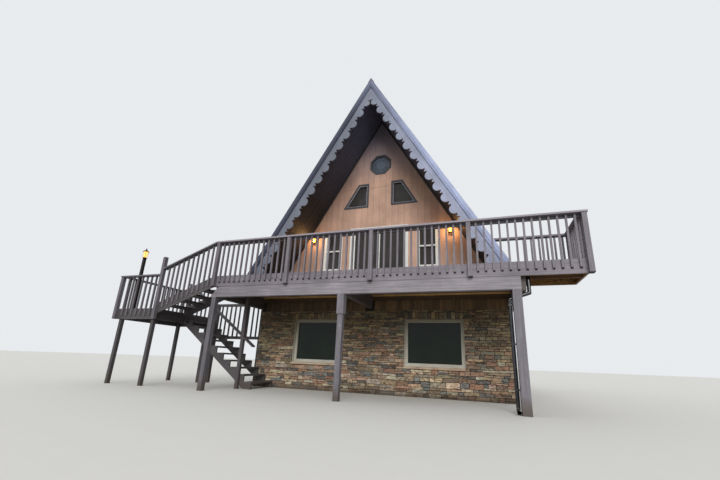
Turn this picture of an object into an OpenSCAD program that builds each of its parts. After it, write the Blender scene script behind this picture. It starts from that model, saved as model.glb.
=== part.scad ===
// A-frame cabin: a steep roof that stands on a raised floor over a stone lower storey,
// with a railed deck across the front and a stair that turns on a side platform.
// All sizes in millimetres. X runs to the right along the front, Y to the back, Z up.
// The origin is the middle of the lower storey, at ground level.

/* [Stone storey] */
// Width of the stone storey, outside
house_w = 7160; // [5600:10:9000]
// Depth of the stone storey, outside
house_d = 8000; // [5000:10:12000]
// Thickness of the stone walls
stone_t = 250; // [150:5:400]
// Height of the stone walls
stone_h = 2460; // [2200:10:3000]
// Thickness of the floor slab
slab_t = 100; // [60:5:200]
// Width of a lower window, over its frame
low_win_w = 1544; // [900:2:2000]
// Height of a lower window, over its frame
low_win_h = 1213; // [700:1:1500]
// Height of the lower window sills
low_win_z = 733; // [400:1:1000]
// Middle of the left lower window
low_win_left_x = -1628; // [-2400:10:-900]
// Middle of the right lower window
low_win_right_x = 1678; // [900:1:2400]
// Width of the lower window frame members
low_frame_w = 85; // [40:1:120]
// Depth of the lower window frames
low_frame_t = 90; // [50:1:140]
// Set-back of the lower window frames from the stone face
low_frame_in = 60; // [20:1:120]
// Height of the stone sills
low_sill_h = 60; // [30:1:100]
// Length of the stone sills past the window on each side
low_sill_over = 60; // [0:1:150]
// Projection of the stone sills
low_sill_out = 45; // [10:1:100]

/* [Floors] */
// Height of the main floor and the deck
floor_z = 2810; // [2600:10:3400]
// Overhang of the main floor past the stone on each side
floor_over = 250; // [100:5:400]
// Underside of the loft floor
loft_z = 5180; // [4900:10:5400]
// Thickness of the loft floor
loft_t = 180; // [100:5:260]

/* [Roof] */
// Height of the ridge
ridge_z = 9310; // [8000:10:11000]
// Half width of the roof at the main floor
roof_foot = 3790; // [3000:10:4600]
// Thickness of a roof slope, square to it
roof_t = 260; // [150:5:400]
// Overhang of the roof in front of the front gable wall
roof_over_front = 1350; // [600:5:2000]
// Overhang of the roof behind the back gable wall
roof_over_back = 600; // [300:5:1500]
// Width of the ridge cap on each slope
ridge_cap_w = 170; // [80:5:300]
// Thickness of the ridge cap
ridge_cap_t = 14; // [6:1:30]
// Thickness of the boards on the gable edge
verge_t = 38; // [20:1:60]
// Width of the plain outer gable board
rake_w = 150; // [80:1:250]
// Width of the scalloped gable board above its scallops
scallop_board_w = 310; // [200:5:400]
// Radius of a scallop
scallop_r = 130; // [60:1:180]
// Spacing of the scallops
scallop_pitch = 405; // [300:1:600]
// Height of the small tooth between two scallops
tooth_h = 62; // [20:1:100]
// Half width of the small tooth
tooth_w = 36; // [15:1:60]
// Half width of the slot between the two top scallops
top_slot = 5; // [2:1:15]
// Width of the dark trim where wall and soffit meet
soffit_trim_w = 62; // [40:1:200]
// Thickness of that trim
soffit_trim_t = 22; // [10:1:40]

/* [Gable walls] */
// Thickness of the gable walls
gable_t = 120; // [80:5:200]
// Set-back of the front gable wall from the stone face
gable_in = 355; // [0:5:1200]
// Height of the octagon window's middle
oct_z = 7055; // [6500:5:7400]
// Width of the octagon window, over its frame
oct_w = 710; // [400:2:800]
// Width of the octagon's frame members
oct_frame_w = 62; // [30:1:100]
// Top of the raked windows
rake_win_top = 6404; // [6000:2:6600]
// Bottom of the raked windows
rake_win_bottom = 5555; // [5400:2:5800]
// Inner side of the raked windows
rake_win_x = 371; // [200:1:600]
// Width of the raked windows at the bottom
rake_win_w = 855; // [500:5:1000]
// Width of the raked windows' frame members
rake_frame_w = 58; // [30:1:90]
// Inner side of the sash windows, over their trim
sash_x = 1188; // [1100:1:1500]
// Width of the sash windows, over their trim
sash_w = 617; // [450:1:800]
// Bottom of the sash windows
sash_bottom = 3480; // [3200:10:3700]
// Top of the sash windows
sash_top = 4790; // [4400:10:5000]
// Width of the sash windows' trim
sash_trim_w = 72; // [40:1:110]
// Half width of the patio door, over its frame
door_half = 930; // [750:5:1050]
// Top of the patio door
door_top = 4860; // [4700:10:5000]
// Width of the patio door's frame members
door_frame_w = 62; // [40:1:100]
// Width of the patio door's panel stiles
door_stile = 78; // [50:1:120]
// Thickness of one patio door panel
door_panel_t = 36; // [25:1:50]
// Projection of window and door trim from the siding
trim_out = 22; // [8:1:40]
// Thickness of a glass pane
glass_t = 16; // [6:1:24]
// Clearance of the wall lamps from the trim under the roof
lamp_clear = 121; // [60:1:200]
// Width of a wall lamp's lantern
lamp_w = 156; // [100:2:220]
// Height of the wall lamps' middle
lamp_z = 4560; // [4300:10:4700]

/* [Deck] */
// Depth of the deck in front of the stone face
deck_d = 2130; // [1500:10:3000]
// Left edge of the deck
deck_left = -3700; // [-3790:10:-3580]
// Right edge of the deck
deck_right = 4888; // [4300:1:5600]
// Depth of the deck's right end
deck_wing_d = 1300; // [1150:1:1700]
// Thickness of the deck boards
board_t = 38; // [20:1:50]
// Thickness of joists and rim boards
joist_t = 40; // [30:1:60]
// Height of the deck's front rim board
rim_h = 290; // [260:5:320]
// Height of the joists and of the side rim boards under the deck boards
joist_h = 184; // [140:2:220]
// Spacing of the joists
joist_pitch = 610; // [300:1:700]
// Height of the beam under the rim
beam_h = 260; // [180:5:320]
// Thickness of the beam
beam_t = 140; // [90:1:200]
// Right end of the beam
beam_right = 3646; // [3560:1:3900]
// Left end of the beam, along its top
beam_left_top = -3518; // [-3600:1:-3300]
// Left end of the beam, along its bottom
beam_left_bottom = -3736; // [-3900:1:-3600]
// Projection of the right cross beam past the front beam's end
cross_beam_out = 100; // [20:5:130]
// Middle of the left, centre and right post
post_x = [-3610, -86, 3560];
// Thickness of the left, centre and right post
post_w = [120, 120, 165];
// Height of the boards wrapped round the top of the centre post
wrap_h = 450; // [200:10:700]
// Thickness of those boards
wrap_t = 22; // [12:1:40]
// Radius of the downspout
spout_r = 38; // [25:1:60]
// Thickness of the downspout's wall
spout_wall = 3; // [2:1:6]
// Middle of the downspout's upper part past the right post's middle
spout_out = 240; // [200:5:300]
// Clearance of the downspout's lower elbow from the beam's underside
spout_drop = 160; // [130:5:400]
// Rise of the downspout's slanting part
spout_rise = 120; // [60:5:200]

/* [Railings] */
// Height of the railing over its floor
rail_h = 935; // [850:5:1100]
// Thickness of the cap board
cap_t = 38; // [25:1:50]
// Width of the cap board
cap_w = 150; // [120:1:200]
// Thickness of the railing posts
rail_post_w = 89; // [60:1:120]
// Thickness of the balusters
baluster_w = 38; // [25:1:50]
// Greatest spacing of the balusters
baluster_pitch = 152; // [120:1:200]
// Height of the balusters' feet over the bottom of the rim
baluster_foot = 95; // [40:1:150]
// Height of the rail under the cap board
under_rail_h = 64; // [40:1:120]
// Number of bays in the front railing
bays = 4; // [2:1:6]

/* [Side stair] */
// Height of the side platform
platform_z = 1990; // [1600:10:2300]
// Right edge of the side platform
platform_right = -5500; // [-6000:10:-5200]
// Width of the side platform
platform_w = 1350; // [1000:10:2000]
// Clearance of the lower flight from the stone wall
flight_clear = 60; // [40:5:160]
// Gap between the two flights
flight_gap = 110; // [95:1:200]
// Number of risers in the upper flight
upper_risers = 6; // [4:1:8]
// Number of risers in the lower flight
lower_risers = 11; // [8:1:14]
// Depth of a lower step
lower_going = 255; // [220:1:300]
// Gap between two treads of the upper flight
tread_gap = 12; // [0:1:30]
// Thickness of the treads
tread_t = 45; // [30:1:60]
// Depth of the stringers, square to the floor
stringer_h = 290; // [220:5:360]
// Height of the handrail over the lower flight
handrail_h = 900; // [800:5:1000]
// Left side of the handrail's middle post
handrail_post_x = -3405; // [-4200:5:-3000]
// Width of the handrail plank
handrail_w = 140; // [80:1:180]
// Thickness of the handrail plank
handrail_t = 38; // [25:1:50]
// Height of the tall newel post's top
newel_top = 3415; // [3200:5:3600]
// Width of the lamp post's lantern
lantern_w = 200; // [140:2:260]
// Height of the balusters' feet under the upper flight's step noses
baluster_drop = 200; // [100:5:260]
// Height of the lamp post's lantern
lantern_z = 3540; // [3300:10:3800]
// Height of the guard panel behind the lower flight
guard_h = 1120; // [900:10:1400]
// Rise of the guard panel's top over the beam's underside
guard_lap = 200; // [0:10:300]

/* [Hidden] */
$fn = 48;

half_w = house_w / 2;
front_y = -house_d / 2;
back_y = house_d / 2;
rise = ridge_z - floor_z;
pitch = atan2(rise, roof_foot);
gable_y = front_y + gable_in;
roof_front_y = gable_y - roof_over_front;
roof_back_y = back_y + roof_over_back;
deck_front = front_y - deck_d;
flight_w = (deck_d - flight_gap - flight_clear) / 2;
rim_z = floor_z - rim_h;
joist_z = floor_z - board_t - joist_h;
beam_z = rim_z - beam_h;
wing_y = deck_front + deck_wing_d;
floor_half = half_w + floor_over;
rail_z = floor_z + rail_h;
rail_first = deck_left + rail_post_w / 2;
rail_last = deck_right - rail_post_w / 2;
bay = (rail_last - rail_first) / bays;
in_bay = ceil(bay / baluster_pitch) - 1;
platform_left = platform_right - platform_w;
platform_back = deck_front + 2 * flight_w + flight_gap + joist_t;
upper_rise = (floor_z - platform_z) / upper_risers;
upper_going = (deck_left - platform_right) / (upper_risers - 1);
lower_rise = platform_z / lower_risers;
lower_run = lower_going * (lower_risers - 1);
lower_end = platform_right + lower_run;
lower_y = deck_front + flight_w + flight_gap;
platform_rail_z = platform_z + rail_h;
platform_cap_z = platform_rail_z - cap_t;
platform_foot_z = platform_z - rim_h + baluster_foot;
platform_post_x = platform_left - rail_post_w;
cap_over = 20;
cap_front = deck_front - rail_post_w - 12;
cap_back = cap_front + cap_w;
door_z0 = floor_z + 30;
door_z1 = door_top - door_frame_w;
door_in = door_half - door_frame_w;
track_y = gable_y + gable_t / 2;

function foot_x(p) = roof_foot - p / sin(pitch);
function top_z(p) = ridge_z - p / cos(pitch);
// half width of the line that lies p under the roof surface, at height z
function half_at(p, z) = foot_x(p) - (z - floor_z) / tan(pitch);
lamp_x = half_at(roof_t + soffit_trim_w, lamp_z + 0.4 * lamp_w) - 0.48 * lamp_w - lamp_clear;
// x and z of a point s down the right slope and p under it
function on_slope(s, p) = [s * cos(pitch) - p * sin(pitch), ridge_z - s * sin(pitch) - p * cos(pitch)];
// where the first scallop sits so that it nearly meets its twin
first_scallop = (scallop_r + top_slot + scallop_board_w * sin(pitch)) / cos(pitch);
// the last scallop's middle stays over the floor
scallop_end = (rise - scallop_board_w * cos(pitch)) / sin(pitch);
scallop_count = floor((scallop_end - first_scallop) / scallop_pitch) + 1;

module block(x0, x1, y0, y1, z0, z1) {
    translate([x0, y0, z0]) cube([x1 - x0, y1 - y0, z1 - z0]);
}

// a flat shape drawn in X and Z, given thickness in Y from y0 to y1
module upright(y0, y1) {
    translate([0, y1, 0]) rotate([90, 0, 0]) linear_extrude(y1 - y0) children();
}

// a flat shape drawn in Y and Z, given thickness in X from x0 to x1
module sideways(x0, x1) {
    translate([x0, 0, 0]) rotate([90, 0, 90]) linear_extrude(x1 - x0) children();
}

module both_sides() {
    children();
    mirror([1, 0, 0]) children();
}

module chevron(p0, p1) {
    polygon([[-foot_x(p0), floor_z], [0, top_z(p0)], [foot_x(p0), floor_z],
             [foot_x(p1), floor_z], [0, top_z(p1)], [-foot_x(p1), floor_z]]);
}

// Stone storey

module ground_slab() {
    color([0.55, 0.53, 0.50])
    block(-half_w + stone_t, half_w - stone_t, front_y + stone_t, back_y - stone_t, 0, slab_t);
}

module low_window_hole(x, y0, y1) {
    block(x - low_win_w / 2, x + low_win_w / 2, y0, y1, low_win_z, low_win_z + low_win_h);
}

module stone_front_wall() {
    color([0.50, 0.42, 0.36])
    difference() {
        block(-half_w, half_w, front_y, front_y + stone_t, 0, stone_h);
        low_window_hole(low_win_left_x, front_y - 1, front_y + stone_t + 1);
        low_window_hole(low_win_right_x, front_y - 1, front_y + stone_t + 1);
    }
}

module stone_back_wall() {
    color([0.50, 0.42, 0.36])
    block(-half_w, half_w, back_y - stone_t, back_y, 0, stone_h);
}

module stone_left_wall() {
    color([0.50, 0.42, 0.36])
    block(-half_w, -half_w + stone_t, front_y + stone_t, back_y - stone_t, 0, stone_h);
}

module stone_right_wall() {
    color([0.50, 0.42, 0.36])
    block(half_w - stone_t, half_w, front_y + stone_t, back_y - stone_t, 0, stone_h);
}

module low_frame(x) {
    y0 = front_y + low_frame_in;
    difference() {
        low_window_hole(x, y0, y0 + low_frame_t);
        block(x - low_win_w / 2 + low_frame_w, x + low_win_w / 2 - low_frame_w, y0 - 1, y0 + low_frame_t + 1,
              low_win_z + low_frame_w, low_win_z + low_win_h - low_frame_w);
    }
}

module lower_window_frames() {
    color([0.62, 0.58, 0.52]) {
        low_frame(low_win_left_x);
        low_frame(low_win_right_x);
    }
}

module low_pane(x) {
    y0 = front_y + low_frame_in + (low_frame_t - glass_t) / 2;
    block(x - low_win_w / 2 + low_frame_w, x + low_win_w / 2 - low_frame_w, y0, y0 + glass_t,
          low_win_z + low_frame_w, low_win_z + low_win_h - low_frame_w);
}

module lower_window_glass() {
    color([0.12, 0.16, 0.15]) {
        low_pane(low_win_left_x);
        low_pane(low_win_right_x);
    }
}

// a sill board that stands on the stone face under the window, with a sloped top
module low_sill(x) {
    sideways(x - low_win_w / 2 - low_sill_over, x + low_win_w / 2 + low_sill_over)
    polygon([[front_y - low_sill_out, low_win_z - low_sill_h], [front_y, low_win_z - low_sill_h],
             [front_y, low_win_z], [front_y - low_sill_out, low_win_z - 12]]);
}

module lower_window_sills() {
    color([0.60, 0.57, 0.52]) {
        low_sill(low_win_left_x);
        low_sill(low_win_right_x);
    }
}

// Floors

module main_floor() {
    color([0.40, 0.29, 0.18])
    block(-floor_half, floor_half, front_y, back_y, stone_h, floor_z);
}

module loft_floor() {
    color([0.55, 0.42, 0.28])
    upright(gable_y + gable_t, back_y - gable_t)
    polygon([[-half_at(roof_t, loft_z), loft_z], [half_at(roof_t, loft_z), loft_z],
             [half_at(roof_t, loft_z + loft_t), loft_z + loft_t],
             [-half_at(roof_t, loft_z + loft_t), loft_z + loft_t]]);
}

// Roof

module slope() {
    upright(roof_front_y + 2 * verge_t, roof_back_y - 2 * verge_t)
    polygon([[foot_x(0), floor_z], [0, top_z(0)], [0, top_z(roof_t)], [foot_x(roof_t), floor_z]]);
}

module roof_right() {
    color([0.20, 0.20, 0.21]) slope();
}

module roof_left() {
    color([0.20, 0.20, 0.21]) mirror([1, 0, 0]) slope();
}

module ridge_cap() {
    drop = ridge_cap_w * sin(pitch);
    out = ridge_cap_w * cos(pitch);
    up = ridge_cap_t / cos(pitch);
    color([0.17, 0.17, 0.18])
    upright(roof_front_y, roof_back_y)
    polygon([[0, ridge_z], [out, ridge_z - drop], [out, ridge_z - drop + up], [0, ridge_z + up],
             [-out, ridge_z - drop + up], [-out, ridge_z - drop]]);
}

module rake_board(y0) {
    upright(y0, y0 + verge_t) chevron(0, rake_w);
}

module front_rake_board() {
    color([0.40, 0.39, 0.46]) rake_board(roof_front_y);
}

module back_rake_board() {
    color([0.40, 0.39, 0.46]) rake_board(roof_back_y - verge_t);
}

// the scallops of one slope, with a small tooth in the gap after each of them
module scallops(y0) {
    for (i = [0 : scallop_count - 1]) {
        s = first_scallop + i * scallop_pitch;
        upright(y0, y0 + verge_t) translate(on_slope(s, scallop_board_w)) circle(r = scallop_r);
        if (i < scallop_count - 1)
            upright(y0, y0 + verge_t)
            polygon([on_slope(s + scallop_pitch / 2 - tooth_w, scallop_board_w - 5),
                     on_slope(s + scallop_pitch / 2 + tooth_w, scallop_board_w - 5),
                     on_slope(s + scallop_pitch / 2, scallop_board_w + tooth_h)]);
    }
}

module scalloped_board(y0) {
    first = on_slope(first_scallop, scallop_board_w);
    difference() {
        union() {
            upright(y0, y0 + verge_t) chevron(0, scallop_board_w);
            both_sides() scallops(y0);
            upright(y0, y0 + verge_t)
            polygon([[-first[0], first[1] + 70], [first[0], first[1] + 70], [0,
                    top_z(scallop_board_w - 40)]]);
        }
        block(-roof_foot, roof_foot, y0 - 1, y0 + verge_t + 1, floor_z - 2 * scallop_r, floor_z);
    }
}

module front_scalloped_board() {
    color([0.44, 0.42, 0.48]) scalloped_board(roof_front_y + verge_t);
}

module back_scalloped_board() {
    color([0.44, 0.42, 0.48]) scalloped_board(roof_back_y - 2 * verge_t);
}

module soffit_trim() {
    color([0.20, 0.18, 0.18])
    upright(gable_y - soffit_trim_t, gable_y) chevron(roof_t, roof_t + soffit_trim_w);
}

// Gable walls

module gable_shape() {
    polygon([[-foot_x(roof_t), floor_z], [foot_x(roof_t), floor_z], [0, top_z(roof_t)]]);
}

module octagon_shape(w) {
    translate([0, oct_z]) rotate(22.5) circle(r = w / 2 / cos(22.5), $fn = 8);
}

// the right raked window, drawn d inside its outer line
module raked_shape(d) {
    far = rake_win_x + rake_win_w;
    lean = 1 / tan(pitch);
    h = rake_win_top - rake_win_bottom;
    slant = d / sin(pitch);
    polygon([[rake_win_x + d, rake_win_bottom + d], [far - slant - d * lean, rake_win_bottom + d],
             [far - slant - (h - d) * lean, rake_win_top - d], [rake_win_x + d, rake_win_top - d]]);
}

module sash_shape(d) {
    translate([sash_x + d, sash_bottom + d]) square([sash_w - 2 * d, sash_top - sash_bottom - 2 * d]);
}

module front_gable_wall() {
    color([0.62, 0.43, 0.32])
    upright(gable_y, gable_y + gable_t)
    difference() {
        gable_shape();
        octagon_shape(oct_w);
        both_sides() raked_shape(0);
        both_sides() sash_shape(0);
        translate([-door_half, floor_z - 1]) square([2 * door_half, door_top - floor_z + 1]);
    }
}

module back_gable_wall() {
    color([0.62, 0.43, 0.32])
    upright(back_y - gable_t, back_y)
    difference() {
        gable_shape();
        both_sides() raked_shape(0);
        both_sides() sash_shape(0);
    }
}

module octagon_window() {
    color([0.22, 0.23, 0.27])
    upright(gable_y - trim_out, gable_y + gable_t) difference() {
        octagon_shape(oct_w);
        octagon_shape(oct_w - 2 * oct_frame_w);
    }
}

module raked_frames(y0, y1) {
    upright(y0, y1) both_sides() difference() {
        raked_shape(0);
        raked_shape(rake_frame_w);
    }
}

module raked_windows() {
    color([0.25, 0.25, 0.27]) {
        raked_frames(gable_y - trim_out, gable_y + gable_t);
        raked_frames(back_y - gable_t, back_y + trim_out);
    }
}

// the trim of a sash window with the rail where its two sashes meet
module sash_frames(y0, y1) {
    upright(y0, y1) both_sides() difference() {
        sash_shape(0);
        difference() {
            sash_shape(sash_trim_w);
            translate([sash_x, (sash_bottom + sash_top) / 2 - 20]) square([sash_w, 40]);
        }
    }
}

module sash_windows() {
    color([0.84, 0.82, 0.77]) {
        sash_frames(gable_y - trim_out, gable_y + gable_t);
        sash_frames(back_y - gable_t, back_y + trim_out);
    }
}

module sash_panes() {
    difference() {
        sash_shape(sash_trim_w);
        translate([sash_x, (sash_bottom + sash_top) / 2 - 20]) square([sash_w, 40]);
    }
}

module upper_glass() {
    front = gable_y + (gable_t - glass_t) / 2;
    back = back_y - (gable_t + glass_t) / 2;
    color([0.13, 0.16, 0.17]) {
        upright(front, front + glass_t) {
            octagon_shape(oct_w - 2 * oct_frame_w);
            both_sides() raked_shape(rake_frame_w);
            both_sides() sash_panes();
        }
        upright(back, back + glass_t) {
            both_sides() raked_shape(rake_frame_w);
            both_sides() sash_panes();
        }
    }
}

// Patio door: two panels, each in its own track, that overlap by one stile in the middle

module patio_door_frame() {
    color([0.84, 0.82, 0.77])
    upright(gable_y - trim_out, gable_y + gable_t) difference() {
        translate([-door_half, floor_z]) square([2 * door_half, door_top - floor_z]);
        translate([-door_half + door_frame_w, floor_z + 30])
        square([2 * (door_half - door_frame_w), door_top - floor_z - 30 - door_frame_w]);
    }
}

module door_panel_shape(x0, x1) {
    translate([x0, door_z0]) square([x1 - x0, door_z1 - door_z0]);
}

module door_light_shape(x0, x1) {
    translate([x0 + door_stile, door_z0 + door_stile])
    square([x1 - x0 - 2 * door_stile, door_z1 - door_z0 - 2 * door_stile]);
}

module door_panel(x0, x1, y0) {
    upright(y0, y0 + door_panel_t) difference() {
        door_panel_shape(x0, x1);
        door_light_shape(x0, x1);
    }
}

module patio_door_panels() {
    color([0.80, 0.79, 0.75]) {
        door_panel(-door_in, door_stile / 2, track_y + 2);
        door_panel(-door_stile / 2, door_in, track_y - 2 - door_panel_t);
    }
}

module patio_door_glass() {
    gap = (door_panel_t - glass_t) / 2;
    color([0.12, 0.15, 0.16]) {
        upright(track_y + 2 + gap, track_y + 2 + gap + glass_t) door_light_shape(-door_in, door_stile / 2);
        upright(track_y - 2 - gap - glass_t, track_y - 2 - gap) door_light_shape(-door_stile / 2, door_in);
    }
}

// a small lantern: wall plate, arm, tapered body and a pointed cap
module wall_lamp() {
    w = lamp_w;
    translate([lamp_x, gable_y, lamp_z]) {
        block(-0.3 * w, 0.3 * w, -0.1 * w, 0, -0.6 * w, 0.6 * w);
        block(-0.08 * w, 0.08 * w, -0.6 * w, -0.1 * w, 0.4 * w, 0.55 * w);
        translate([0, -0.6 * w, -0.7 * w]) cylinder(r1 = 0.3 * w, r2 = 0.4 * w, h = 1.1 * w);
        translate([0, -0.6 * w, 0.4 * w]) cylinder(r1 = 0.48 * w, r2 = 0.12 * w, h = 0.4 * w);
        translate([0, -0.6 * w, 0.8 * w]) sphere(r = 0.09 * w);
    }
}

module wall_lamps() {
    color([0.18, 0.16, 0.15]) both_sides() wall_lamp();
}

// Deck

module deck_outline(d, back) {
    polygon([[deck_left + d, deck_front + d], [deck_right - d, deck_front + d], [deck_right - d, wing_y - d],
             [floor_half - d, wing_y - d], [floor_half - d, back], [deck_left + d, back]]);
}

module deck_boards() {
    color([0.42, 0.38, 0.36])
    translate([0, 0, floor_z - board_t]) linear_extrude(board_t) deck_outline(joist_t, front_y);
}

// a deep board across the front, shallower boards on the other sides
module deck_rim() {
    color([0.42, 0.38, 0.39]) {
        translate([0, 0, joist_z]) linear_extrude(floor_z - joist_z) difference() {
            deck_outline(0, front_y);
            deck_outline(joist_t, front_y + 1);
        }
        block(deck_left, deck_right, deck_front, deck_front + joist_t, rim_z, floor_z);
    }
}

// joists along the deck, the first ones out to the end of its right wing
module deck_joists() {
    count = floor((deck_d - 2 * joist_t) / joist_pitch);
    color([0.45, 0.32, 0.18])
    for (i = [1 : count]) {
        y = deck_front + i * joist_pitch;
        right = y + 2 * joist_t < wing_y ? deck_right : floor_half;
        block(deck_left + joist_t, right - joist_t, y, y + joist_t, joist_z, floor_z - board_t);
    }
}

// the beam is flush with the rim board and rises behind it to the joists
module deck_beam() {
    color([0.38, 0.34, 0.34]) {
        upright(deck_front, deck_front + beam_t)
        polygon([[beam_left_bottom, beam_z], [beam_right, beam_z], [beam_right, rim_z],
                 [beam_left_top, rim_z]]);
        block(beam_left_top, beam_right, deck_front + joist_t, deck_front + beam_t, rim_z - 1, joist_z);
    }
}

// three beams from the front beam back to the house, at the deck's left edge, over the centre
// post and outside the right post
module cross_beams() {
    color([0.38, 0.34, 0.34])
    for (x = [deck_left, post_x[1] - post_w[1] / 2, beam_right + cross_beam_out - beam_t])
        block(x, x + beam_t, deck_front + beam_t, front_y, beam_z, joist_z);
}

// a bare board on the house wall that carries the deck's back edge
module ledger_board() {
    color([0.60, 0.46, 0.29])
    block(deck_left + joist_t, floor_half - joist_t, front_y - joist_t, front_y, joist_z,
          floor_z - board_t);
}

module deck_post(i) {
    h = post_w[i] / 2;
    block(post_x[i] - h, post_x[i] + h, deck_front, deck_front + 2 * h, 0, beam_z);
}

module post_left() {
    color([0.40, 0.37, 0.37]) deck_post(0);
}

module post_centre() {
    color([0.40, 0.37, 0.37]) deck_post(1);
}

module post_right() {
    color([0.40, 0.37, 0.37]) deck_post(2);
}

module centre_post_wrap() {
    x = post_x[1];
    h = post_w[1] / 2;
    color([0.40, 0.37, 0.37])
    difference() {
        block(x - h - wrap_t, x + h + wrap_t, deck_front - wrap_t, deck_front + 2 * h + wrap_t,
              beam_z - wrap_h, beam_z);
        block(x - h, x + h, deck_front, deck_front + 2 * h, beam_z - wrap_h - 1, beam_z + 1);
    }
}

// the pipe's run: down from the deck boards, slanting behind the post, straight down, a quarter
// bend to the front and a short outlet
module spout_run(r, shift, extra) {
    bend = 2 * spout_r;
    foot = spout_r + bend + 6;
    turn = beam_z - spout_drop;
    lean = atan2(shift, spout_rise);
    translate([0, 0, foot]) cylinder(r = r, h = turn - foot);
    translate([0, 0, turn]) sphere(r = r);
    translate([0, 0, turn]) rotate([0, lean, 0]) cylinder(r = r, h = shift / sin(lean));
    translate([shift, 0, turn + spout_rise]) sphere(r = r);
    translate([shift, 0, turn + spout_rise])
    cylinder(r = r, h = floor_z - board_t - turn - spout_rise + extra);
    translate([0, -bend, foot]) multmatrix([[0, 0, -1, 0], [1, 0, 0, 0], [0, -1, 0, 0]])
    rotate_extrude(angle = 90) translate([bend, 0]) circle(r = r);
    translate([0, -bend, spout_r + 6]) rotate([90, 0, 0]) cylinder(r = r, h = 60 + extra);
}

// a round pipe behind the right post, strapped to it, with a turned-out foot
module downspout() {
    post_back = deck_front + post_w[2];
    x = post_x[2] - post_w[2] / 2 - spout_r - 6;
    y = post_back + spout_r + 12;
    shift = post_x[2] + spout_out - x;
    color([0.05, 0.05, 0.05])
    difference() {
        union() {
            translate([x, y, 0]) spout_run(spout_r, shift, 0);
            for (z = [0.18 * beam_z, 0.54 * beam_z, 0.87 * beam_z])
                block(x - spout_r, post_x[2] - 20, post_back, y - spout_r + 4, z, z + 30);
        }
        translate([x, y, 0]) spout_run(spout_r - spout_wall, shift, 1);
    }
}

// Railings

module baluster_shape(z0, z1) {
    polygon([[0, z0 + baluster_w], [-baluster_w, z0 + baluster_w * 1.6], [-baluster_w, z1], [0, z1]]);
}

module front_rail_posts() {
    color([0.42, 0.39, 0.41])
    for (i = [0 : bays]) {
        x = rail_first + i * bay;
        block(x - rail_post_w / 2, x + rail_post_w / 2, deck_front - rail_post_w, deck_front, rim_z,
              rail_z - cap_t);
    }
}

module front_balusters() {
    color([0.45, 0.42, 0.45])
    for (i = [0 : bays - 1], k = [1 : in_bay]) {
        x = rail_first + i * bay + k * bay / (in_bay + 1);
        translate([0, deck_front, 0]) sideways(x - baluster_w / 2, x + baluster_w / 2)
        baluster_shape(rim_z + baluster_foot - baluster_w, rail_z - cap_t);
    }
}

module front_rail_cap() {
    color([0.50, 0.47, 0.50]) {
        block(deck_left - cap_over, deck_right + cap_over, cap_front, cap_back, rail_z - cap_t, rail_z);
        block(deck_left, deck_right, deck_front, deck_front + baluster_w, rail_z - cap_t - under_rail_h,
              rail_z - cap_t);
    }
}

// the side rail stands on the deck boards, its posts flush with the deck's edge
module right_railing() {
    run = wing_y - rail_post_w - deck_front - joist_t;
    n = floor(run / baluster_pitch);
    color([0.44, 0.41, 0.43]) {
        block(deck_right + cap_over - cap_w, deck_right + cap_over, cap_back, wing_y + cap_over,
              rail_z - cap_t, rail_z);
        block(deck_right - rail_post_w, deck_right, wing_y - rail_post_w, wing_y, floor_z, rail_z - cap_t);
        for (k = [0 : n - 1]) {
            y = deck_front + joist_t + (k + 0.5) * run / n;
            block(deck_right - joist_t - baluster_w, deck_right - joist_t, y - baluster_w / 2,
                  y + baluster_w / 2,
                  floor_z, rail_z - cap_t);
        }
    }
}

module rear_railing() {
    x1 = deck_right - rail_post_w;
    run = x1 - floor_half;
    n = floor(run / baluster_pitch);
    z0 = rail_z - cap_t;
    color([0.44, 0.41, 0.43]) {
        upright(wing_y + cap_over - cap_w, wing_y + cap_over)
        polygon([[half_at(0, z0), z0], [deck_right + cap_over - cap_w, z0],
                 [deck_right + cap_over - cap_w, rail_z], [half_at(0, rail_z), rail_z]]);
        for (k = [0 : n - 1]) {
            x = floor_half + (k + 0.5) * run / n;
            block(x - baluster_w / 2, x + baluster_w / 2, wing_y - joist_t - baluster_w, wing_y - joist_t,
                  floor_z, z0);
        }
    }
}

// Side stair

function upper_line(x) = floor_z - (deck_left - x) * upper_rise / upper_going;

module upper_stringer(y0) {
    upright(y0, y0 + joist_t)
    polygon([[deck_left, floor_z - stringer_h], [deck_left, floor_z],
             [platform_right, platform_z + upper_rise], [platform_right,
                                                         platform_z + upper_rise - stringer_h]]);
}

module upper_stringers() {
    color([0.38, 0.34, 0.33]) {
        upper_stringer(deck_front);
        upper_stringer(deck_front + flight_w - joist_t);
    }
}

module upper_treads() {
    color([0.42, 0.38, 0.36])
    for (k = [1 : upper_risers - 1]) {
        z = floor_z - k * upper_rise;
        x = deck_left - k * upper_going;
        block(x, x + upper_going - tread_gap, deck_front + joist_t, deck_front + flight_w - joist_t,
              z - tread_t, z);
    }
}

module upper_flight_railing() {
    x0 = platform_right + rail_post_w;
    x1 = deck_left - cap_over;
    h = rail_h - cap_t;
    n = floor((deck_left - x0) / baluster_pitch);
    b = baluster_w / 2;
    color([0.42, 0.39, 0.41]) {
        upright(cap_front, cap_back)
        polygon([[x1, upper_line(x1) + h], [x1, upper_line(x1) + rail_h],
                 [x0, upper_line(x0) + rail_h], [x0, upper_line(x0) + h]]);
        upright(deck_front - baluster_w, deck_front)
        for (k = [1 : n - 1]) {
            x = deck_left - k * (deck_left - x0) / n;
            polygon([[x - b, upper_line(x) - baluster_drop], [x + b, upper_line(x) - baluster_drop],
                     [x + b, upper_line(x + b) + h], [x - b, upper_line(x - b) + h]]);
        }
    }
}

module side_platform() {
    z0 = platform_z - rim_h;
    color([0.40, 0.36, 0.35])
    difference() {
        block(platform_left, platform_right, deck_front, platform_back, z0, platform_z);
        block(platform_left + joist_t, platform_right - joist_t, deck_front + joist_t,
              platform_back - joist_t,
              z0 - 1, platform_z - board_t);
    }
}

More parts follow.
